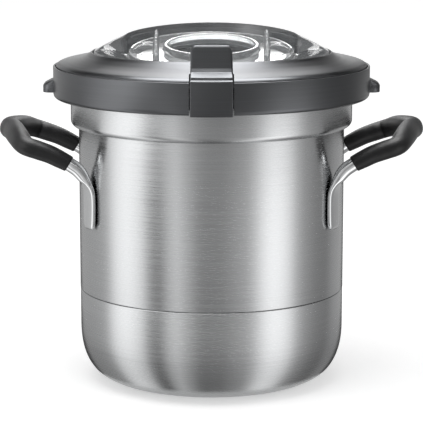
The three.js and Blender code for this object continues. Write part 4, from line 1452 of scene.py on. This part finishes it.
@dataclass
class Latch:
    """Lever at the front of the lid, with a tab that stands above it."""

    face_r: float = 114.05
    edge_z: float = 230.0
    width: float = 29.2
    thick: float = 3.1
    tab_h: float = 24.6
    tab_corner: float = 3.4
    bend_h: float = 8.6
    pin_r: float = 1.6
    pin_y: float = -107.65
    pin_z: float = 225.5
    spring_half: float = 5.0

    def profile(self) -> Profile:
        """Side view as (depth behind the face, height above the ring's edge).

        Returns:
            The view's outline.
        """
        return rounded([
            (0, -23.1, 1.0), (0, 0.9, 0.7), (1.5, 1.7, 0.3), (2.0, 3.5, 0.5), (6.6, 6.5, 1.4), (8, 9.2, 3),
            (9.2, 23.2, 0.8), (10, self.tab_h, 0.6), (11.2, 23.8, 0.7), (10.4, 8, 3), (8.2, 3.8, 2),
            (5.4, 1.8, 2), (self.thick, -0.6, 1),
            (self.thick, -17.7, 1), (4.1, -20.6, 0.8), (9.25, -21.2, 0.2), (9.25, -22.1, 0.2),
            (8.05, -23.1, 0.3),
        ], 5)

    def lever(self) -> Form:
        """Plate, bend and tab, with rounded sides and top corners.

        Returns:
            The form.
        """
        half = self.width / 2
        outline = self.profile()
        stops = [(half, 0.5), (half - 0.08, 0.25), (half - 0.3, 0.08), (half - 0.6, 0.0)]
        stops += [(half - 0.6 - t * (self.tab_corner + 0.4), 0.0) for t in spread(9)[1:]]
        stops += [(x, 0.0) for x in (7.5, 4.0, 0.0)]
        rings = []
        for x, inset in [(-x, i) for x, i in stops] + stops[-2::-1]:
            over = abs(x) - (half - 0.5 - self.tab_corner)
            drop = self.tab_corner - math.sqrt(max(0.0, self.tab_corner ** 2 - max(0.0, over) ** 2))
            points = []
            for depth, up in shrink(outline, inset):
                if up > self.bend_h:
                    share = (up - self.bend_h) / (self.tab_h - self.bend_h)
                    up = self.bend_h + share * (self.tab_h - self.bend_h - drop)
                narrow = 1 - 0.034 * smooth(up / 6)
                curve = (self.face_r - math.sqrt(self.face_r ** 2 - x * x)) * max(0.0, 1 - depth / self.thick)
                points.append(Vector((x * narrow, depth + curve - self.face_r, self.edge_z + up)))
            rings.append(points)
        return skin(rings)

    def knuckle(self, start: float, end: float) -> Form:
        """Eye round the latch pin, between two places along X.

        Args:
            start: First place.
            end: Last place.

        Returns:
            The form.
        """
        outline = arc(self.pin_y, self.pin_z, 3.3, -90, 90, 16)
        root = self.thick - 0.4 - self.face_r
        outline += [(root, self.pin_z + 3.2), (root, self.pin_z - 3.2)]
        return skin([[Vector((x, y, z)) for y, z in outline] for x in (start, end)])

    def build(self) -> None:
        """Makes and dresses the lever."""
        inner = self.width / 2 - 0.2
        eyes = [self.knuckle(-inner, -self.spring_half), self.knuckle(self.spring_half, inner)]
        hole = skin([
            [Vector((x, y, z)) for y, z in arc(self.pin_y, self.pin_z, self.pin_r + GAP, 0, 350, 35)]
            for x in (-self.width, self.width)
        ])
        place_piece(
            "lever", self.lever(), LACQUERED_NYLON, Body.LATCH, ["latch_lever"],
            joins=eyes, cuts=[hole],
        )


def shrink(outline: Profile, inset: float) -> Profile:
    """Closed outline moved inwards.

    Args:
        outline: Points of the outline.
        inset: How far each point moves in.

    Returns:
        The smaller outline.
    """
    if not inset:
        return list(outline)
    area = sum(a[0] * b[1] - b[0] * a[1] for a, b in zip(outline, outline[1:] + outline[:1]))
    sign = 1 if area > 0 else -1
    moved = []
    for i, (x, y) in enumerate(outline):
        before = outline[i - 1]
        after = outline[(i + 1) % len(outline)]
        along = Vector((after[0] - before[0], after[1] - before[1]))
        if along.length < 1e-6:
            moved.append((x, y))
            continue
        along.normalize()
        moved.append((x - sign * along.y * inset, y + sign * along.x * inset))
    return moved


@dataclass
class FillerCap:
    """Clear measuring cap: a disc with a well, two finger fins and the recesses outside them."""

    tilt: float = math.radians(7.4)
    seat_z: float = 238.0
    disc_r: float = 59.5
    disc_t: float = 2.7
    well_r: float = 34.6
    bore_r: float = 31.2
    depth: float = 28.0
    rim_z: float = 7.6
    fin_x: float = 39.6
    fin_h: float = 17.24
    fin_half: float = 20.0
    fin_t: float = 4.8
    fin_low: float = 1.0         # foot of the fins, inside the disc
    recess: float = 1.35

    def top(self, x: float, y: float) -> float:
        """Height of the disc's face, with the recesses for the fingertips.

        Args:
            x: Place across.
            y: Place front to back.

        Returns:
            The height.
        """
        inner, outer = self.fin_x - 1.6, self.disc_r - 2.5
        across = (abs(x) - (inner + outer) / 2) / ((outer - inner) / 2)
        away = math.hypot(across, (y - 6) / 20)
        return self.disc_t - self.recess * smooth((1 - away) / 0.1)

    def body(self) -> Form:
        """Disc and well.

        Returns:
            The form.
        """
        low = -self.depth
        edge, top = self.disc_r, self.disc_t
        lip = rounded([
            (edge - 0.4, GAP, 0.3), (edge, GAP + 0.5, 0.3), (edge, top + 0.2, 0.4),
            (edge - 0.9, top + 0.4, 0.4), (edge - 1.8, top, 0.3), (50, 2),
        ], 3)[:-1]
        floor = [(0, low), *arc(self.well_r - 4, low + 4, 4, -90, 0, 8), (self.well_r, GAP)]
        face = [(edge - 2.2 - t * (edge - 2.2 - self.well_r - 0.6), top) for t in spread(44)]
        rim = [(self.well_r + 0.1, top + 0.15), (self.well_r, top + 0.6), (self.well_r, self.rim_z - 1)]
        rim += arc(self.well_r - 1, self.rim_z - 1, 1, 0, 90, 5)
        rim += arc(self.bore_r + 1, self.rim_z - 1, 1, 90, 180, 5)
        inside = [(self.bore_r, low + 7), *arc(self.bore_r - 4, low + 7, 4, 0, -90, 8)[1:], (0, low + 3)]

        def section(angle: float) -> list[Vector]:
            """Section of the cap at an angle.

            Args:
                angle: Angle from the front, in radians.

            Returns:
                The section's points.
            """
            points = [on_ring(r, angle, z) for r, z in floor + lip]
            for r, z in face:
                point = on_ring(r, angle, z)
                point.z = self.top(point.x, point.y)
                points.append(point)
            return points + [on_ring(r, angle, z) for r, z in rim + inside]

        return ring_of(section, 192)

    def fin(self, side: int) -> Form:
        """Finger fin: an arch seen from the side, a point seen from the front.

        Args:
            side: -1 for the left, 1 for the right.

        Returns:
            The form.
        """
        wedge = rounded([
            (0.5, 0.0), (0.5, 0.6, 0.2), (0.2, 0.94, 0.1), (0, 1, 0.1), (-0.2, 0.94, 0.1), (-0.5, 0.6, 0.2),
            (-0.5, 0.0),
        ], 4)
        rings = []
        for t in spread(41):
            y = -self.fin_half * math.cos(math.pi * t)
            rise = math.sqrt(max(0.0, 1 - (y / self.fin_half) ** 2)) ** 0.9
            high = self.disc_t - 1.2 + (self.fin_h - self.disc_t + 1.2) * max(0.03, rise)
            thick = self.fin_t * (0.35 + 0.65 * min(1.0, 2.2 * rise))
            rings.append([
                Vector((side * self.fin_x + across * thick, y, self.fin_low + up * (high - self.fin_low)))
                for across, up in wedge
            ])
        return skin(rings)

    def build(self) -> None:
        """Makes and dresses the cap."""
        place = lean_matrix(self.tilt, self.seat_z)
        place_piece(
            "measuring_cap", self.body().moved(place), CLEAR_COPOLYESTER, Body.CAP, ["filler_cap"],
            joins=[self.fin(side).moved(place) for side in (-1, 1)],
        )


# ---------------------------------------------------------------- studio


@dataclass
class Studio:
    """White floor, a soft lamp, a ring of grey and white cards for the steel to mirror, and the camera."""

    floor_half: float = 9.0
    card_r: float = 0.42
    card_in: float = 0.085
    card_h: float = 0.41
    card_edge: float = 158.0      # where the banded cards end, from the front
    back_low: float = 0.175
    back_high: float = 0.27
    back_top: float = 1.5
    flank_low: float = 0.235
    flank_edge: float = 170.5     # where the brightest card behind starts, from the front
    side_top: float = 1.3         # top of the dark cards on both sides of the back
    side_from: float = 105.0
    upper_from: float = 0.172     # where the upper cards start, which the lid's side mirrors
    over_z: float = 0.95
    over_r: float = 0.42
    bowl_r: float = 0.096
    lens: float = 177.7
    camera_y: float = -1.501
    camera_z: float = 0.3946
    pitch: float = 79.72
    world_level: float = 0.62
    floor_glow: float = 0.42      # what the floor adds where it shows, so that it reads as white
    card_low_z: float = 0.0012    # just above the floor
    near_r: float = 0.1           # where the banded cards start to brighten outwards
    far_r: float = 0.3            # where they have their full level
    near_share: float = 0.6       # what they have of it at the start
    black: float = 0.07
    nearly_black: float = 0.03
    over_level: float = 9.5
    look_at: float = 0.12         # height that the lamp looks at
    # brightness of the cards, by angle from the front, towards the right handle
    levels: tuple[tuple[float, float], ...] = (
        (-152, 0.05), (-146, 0.48), (-112, 0.62), (-98, 0.72), (-92, 0.95), (-86, 1.50), (-79, 1.88),
        (-70, 1.98), (-62, 1.70), (-56, 1.34), (-50, 0.62), (-45, 0.36), (-40, 0.42), (-34, 0.92),
        (-27, 1.22), (-20, 0.88), (-10, 0.46), (-4, 0.41), (8, 0.45), (27, 0.78), (34, 1.18),
        (41, 1.82), (48, 2.15), (56, 2.08), (64, 1.66), (70, 1.06), (78, 0.66), (92, 0.42),
        (108, 0.33), (120, 0.50), (146, 0.52), (152, 0.05),
    )
    # the same for the upper cards, which the lid's side mirrors
    upper_levels: tuple[tuple[float, float], ...] = (
        (-160, 0.50), (-116, 0.80), (-90, 0.95), (-78, 1.40), (-70, 1.95), (-58, 2.70), (-50, 2.70),
        (-42, 1.90), (-34, 1.20), (-27, 0.85), (-19, 0.60), (-15, 0.66), (-11, 0.70), (-6, 0.60),
        (0, 0.45), (5, 0.40), (11, 0.32), (18, 0.28), (31, 0.34), (52, 0.55), (77, 0.34),
        (111, 0.34), (160, 0.30),
    )
    # brightness of the cards behind, by share of their height
    back_levels: tuple[tuple[float, float], ...] = (
        (0.0, 0.05), (0.091, 0.10), (0.102, 0.45), (0.108, 8.00), (0.16, 8.00), (0.22, 4.60), (1.0, 4.60),
    )
    # the same for the cards on both sides of them
    flank_levels: tuple[tuple[float, float], ...] = (
        (0.0, 1.00), (0.025, 1.00), (0.04, 0.05), (0.09, 0.05), (0.11, 0.70), (0.13, 1.90), (0.21, 2.80),
        (1.0, 2.80),
    )

    def floor(self) -> None:
        """Floor that is white to the eye and still carries the shadow."""
        half = self.floor_half
        corners = [Vector((x * half, y * half, 0)) / MM for x, y in ((-1, -1), (1, -1), (1, 1), (-1, 1))]
        mesh = to_mesh("floor", Form(corners, [(0, 1, 2, 3)]))
        material = new_material("paper_white_seamless")
        tree = material.node_tree
        shader = add_node(
            tree,
            "ShaderNodeBsdfPrincipled",
            {
                "Base Color": linear("f4f4f4"),
                "Roughness": 0.9,
                "Specular IOR Level": 0.0,
                "Emission Color": (1, 1, 1, 1),
            },
            {"Emission Strength": maths(tree, "MULTIPLY", seen_by_eye(tree), self.floor_glow)},
        )
        add_node(tree, "ShaderNodeOutputMaterial", {}, {"Surface": shader.outputs["BSDF"]})
        mesh.materials.append(material)
        floor = add_object("floor", mesh)

    def card(
        self, name: str, start: float, end: float, outline: Profile, material: bpy.types.Material
    ) -> None:
        """Curved card round the bowl, seen only in reflections.

        Args:
            name: Name of the card.
            start: First angle from the front, in degrees.
            end: Last angle.
            outline: Its (radius, height) points in metres.
            material: What it is covered with.
        """
        steps = max(8, round(abs(end - start) / 3))
        angles = [math.radians(start + (end - start) * i / steps) for i in range(steps + 1)]
        form = Form([on_ring(r / MM, angle, z / MM) for angle in angles for r, z in outline])
        n = len(outline)
        for i in range(steps):
            for k in range(n - 1):
                a = i * n + k
                form.faces.append((a, a + n, a + n + 1, a + 1))
        mesh = to_mesh(name, form)
        mesh.materials.append(material)
        card = add_object(name, mesh)
        card.visible_camera = False
        card.visible_diffuse = False
        card.visible_transmission = False
        card.visible_shadow = False

    def grey(self, name: str, level: float) -> bpy.types.Material:
        """Even grey card.

        Args:
            name: Name of the material.
            level: Its brightness.

        Returns:
            The material.
        """
        material = self.card_material(name)
        self.light(material.node_tree, {"Color": (1, 1, 1, 1), "Strength": level}, {})
        return material

    def card_material(self, name: str) -> bpy.types.Material:
        """Empty material of a card, left out of the lamps' sampling.

        Args:
            name: Name of the material.

        Returns:
            The material.
        """
        material = new_material(name)
        material.cycles.emission_sampling = "NONE"
        return material

    def light(
        self, tree: bpy.types.NodeTree, settings: dict[str | int, Any], links: dict[str | int, Any]
    ) -> None:
        """Lets a card shine, with these settings and links of its emission."""
        light = add_node(tree, "ShaderNodeEmission", settings, links)
        add_node(tree, "ShaderNodeOutputMaterial", {}, {"Surface": light.outputs["Emission"]})

    def ramp(
        self, tree: bpy.types.NodeTree, levels: Profile, place: bpy.types.NodeSocket
    ) -> bpy.types.NodeSocket:
        """Adds a ramp of grey levels, each as a share of the brightest.

        Args:
            tree: The node tree.
            levels: (place from 0 to 1, brightness) pairs.
            place: The socket that says where on the ramp a point is.

        Returns:
            The ramp's colour.
        """
        top = max(level for _, level in levels)
        stops = [(share, (*[level / top] * 3, 1.0)) for share, level in levels]
        return add_node(tree, "ShaderNodeValToRGB", {"stops": stops}, {"Fac": place}).outputs["Color"]

    def banded(self, name: str, levels: Profile) -> bpy.types.Material:
        """Card whose brightness changes by angle, between white and dark grey.

        On the floor near the bowl the bands close up, so that each still shows as one upright band.

        Args:
            name: Name of the material.
            levels: (angle from the front, brightness) pairs.

        Returns:
            The material.
        """
        material = self.card_material(name)
        tree = material.node_tree
        place = add_node(tree, "ShaderNodeTexCoord", {})
        turned = add_node(
            tree,
            "ShaderNodeMapping",
            {"Rotation": (0, 0, math.pi / 2), "Scale": (1, 1, 0)},
            {"Vector": place.outputs["Object"]},
        ).outputs["Vector"]
        parts = add_node(tree, "ShaderNodeSeparateXYZ", {}, {"Vector": turned}).outputs
        radius = add_node(tree, "ShaderNodeVectorMath", {"operation": "LENGTH"}, {0: turned}).outputs["Value"]
        left = maths(tree, "SUBTRACT", 2.0, maths(tree, "DIVIDE", self.bowl_r, radius))
        closing = maths(tree, "DIVIDE", 2 - self.bowl_r / self.card_r, left)
        angle = maths(tree, "MULTIPLY", maths(tree, "ARCTAN2", parts["Y"], parts["X"]), closing)
        stop = add_node(
            tree, "ShaderNodeMapRange", {"From Min": -math.pi, "From Max": math.pi}, {"Value": angle}
        )
        top = max(level for _, level in levels)
        shares = [((turn + 180) / 360, level) for turn, level in levels]
        fading = add_node(
            tree,
            "ShaderNodeMapRange",
            {
                "From Min": self.near_r,
                "From Max": self.far_r,
                "To Min": self.near_share * top,
                "To Max": top,
            },
            {"Value": radius},
        )
        colour = self.ramp(tree, shares, stop.outputs["Result"])
        self.light(tree, {}, {"Color": colour, "Strength": fading.outputs["Result"]})
        return material

    def graded(self, name: str, levels: Profile) -> bpy.types.Material:
        """Card behind that goes from grey at its foot to white above.

        Args:
            name: Name of the material.
            levels: (share of the height, brightness) pairs.

        Returns:
            The material.
        """
        material = self.card_material(name)
        tree = material.node_tree
        place = add_node(tree, "ShaderNodeTexCoord", {})
        parts = add_node(tree, "ShaderNodeSeparateXYZ", {}, {"Vector": place.outputs["Object"]})
        rise = add_node(
            tree,
            "ShaderNodeMapRange",
            {"From Min": self.back_high, "From Max": self.back_top},
            {"Value": parts.outputs["Z"]},
        )
        colour = self.ramp(tree, levels, rise.outputs["Result"])
        self.light(tree, {"Strength": max(level for _, level in levels)}, {"Color": colour})
        return material

    def cards(self) -> None:
        """Cards round the bowl: banded ones at the front and sides, grey, white and dark ones behind."""
        r, edge, flank = self.card_r, self.card_edge, self.flank_edge
        foot = [(self.card_in, self.card_low_z), (r, self.card_low_z)]
        upper = [(r, self.upper_from), (r, self.card_h)]
        back = [(r, self.back_high), (r, self.back_top)]
        beside = [(r, self.flank_low), (r, self.back_top)]
        above = [(r, self.card_h), (r, self.side_top)]
        over = [(0.0, self.over_z), (self.over_r, self.over_z)]
        low_bands = self.banded("card_bands_low", self.levels)
        high_bands = self.banded("card_bands_high", self.upper_levels)
        black = self.grey("card_black", self.black)
        white = self.graded("card_back", self.back_levels)
        shaded = self.graded("card_flank", self.flank_levels)
        dark = self.grey("card_nearly_black", self.nearly_black)
        for name, start, end, outline, material in (
            ("cards_low", -edge, edge, [*foot, (r, self.upper_from)], low_bands),
            ("cards_high", -edge, edge, upper, high_bands),
            ("card_back_low", edge, 360 - edge, [*foot, (r, self.back_low)], black),
            ("card_back", flank, 360 - flank, back, white),
            ("card_flank_right", edge, flank, beside, shaded),
            ("card_flank_left", 360 - flank, 360 - edge, beside, shaded),
            ("card_side_right", self.side_from, edge, above, dark),
            ("card_side_left", 360 - edge, 360 - self.side_from, above, dark),
            ("card_over", 0, 360, over, self.grey("card_white", self.over_level)),
        ):
            self.card(name, start, end, outline, material)

    def world(self) -> None:
        """White surroundings, at a plain level where they light the bowl."""
        world = bpy.data.worlds.new("studio")
        bpy.context.scene.world = world
        world.use_nodes = True
        tree = world.node_tree
        tree.nodes.clear()
        levels = {"To Min": self.world_level, "To Max": 1.0}
        level = add_node(tree, "ShaderNodeMapRange", levels, {"Value": seen_by_eye(tree)})
        light = add_node(
            tree, "ShaderNodeBackground", {"Color": (1, 1, 1, 1)}, {"Strength": level.outputs["Result"]}
        )
        add_node(tree, "ShaderNodeOutputWorld", {}, {"Surface": light.outputs["Background"]})

    def lamp(self, name: str, size: float, power: float, place: tuple[float, float, float]) -> None:
        """Soft square lamp that looks at the bowl.

        Args:
            name: Name of the lamp.
            size: Side of the lamp in metres.
            power: Power in watts.
            place: Where it hangs, in metres.
        """
        data = bpy.data.lights.new(name, "AREA")
        data.size = size
        data.energy = power
        lamp = add_object(name, data)
        lamp.location = place
        towards = Vector((0, 0, self.look_at)) - Vector(place)
        lamp.rotation_euler = towards.to_track_quat("-Z", "Y").to_euler()

    def camera(self) -> None:
        """Long lens in front of the bowl, looking down a little."""
        data = bpy.data.cameras.new("camera")
        data.lens = self.lens
        data.sensor_width = 36.0
        data.clip_end = 100.0
        camera = add_object("camera", data)
        camera.location = (0, self.camera_y, self.camera_z)
        camera.rotation_euler = (math.radians(self.pitch), 0, 0)
        bpy.context.scene.camera = camera

    def build(self) -> None:
        """Sets up the studio."""
        self.camera()
        self.floor()
        self.cards()
        self.world()
        self.lamp("lamp_over", 1.6, 14.0, (-0.3, -0.4, 2.1))
        bpy.context.scene.view_settings.view_transform = "Standard"


def main() -> None:
    """Builds the bowl's sub-assemblies and the studio, in order."""
    logging.basicConfig(level=logging.INFO, format="%(name)s: %(message)s")
    Studio().build()
    Vessel().build()
    Base().build()
    DriveLine().build()
    BladeSet().build()
    Handle(Side.RIGHT).build()
    Handle(Side.LEFT).build()
    Lid().build()
    Latch().build()
    FillerCap().build()


if __name__ == "__main__":
    main()
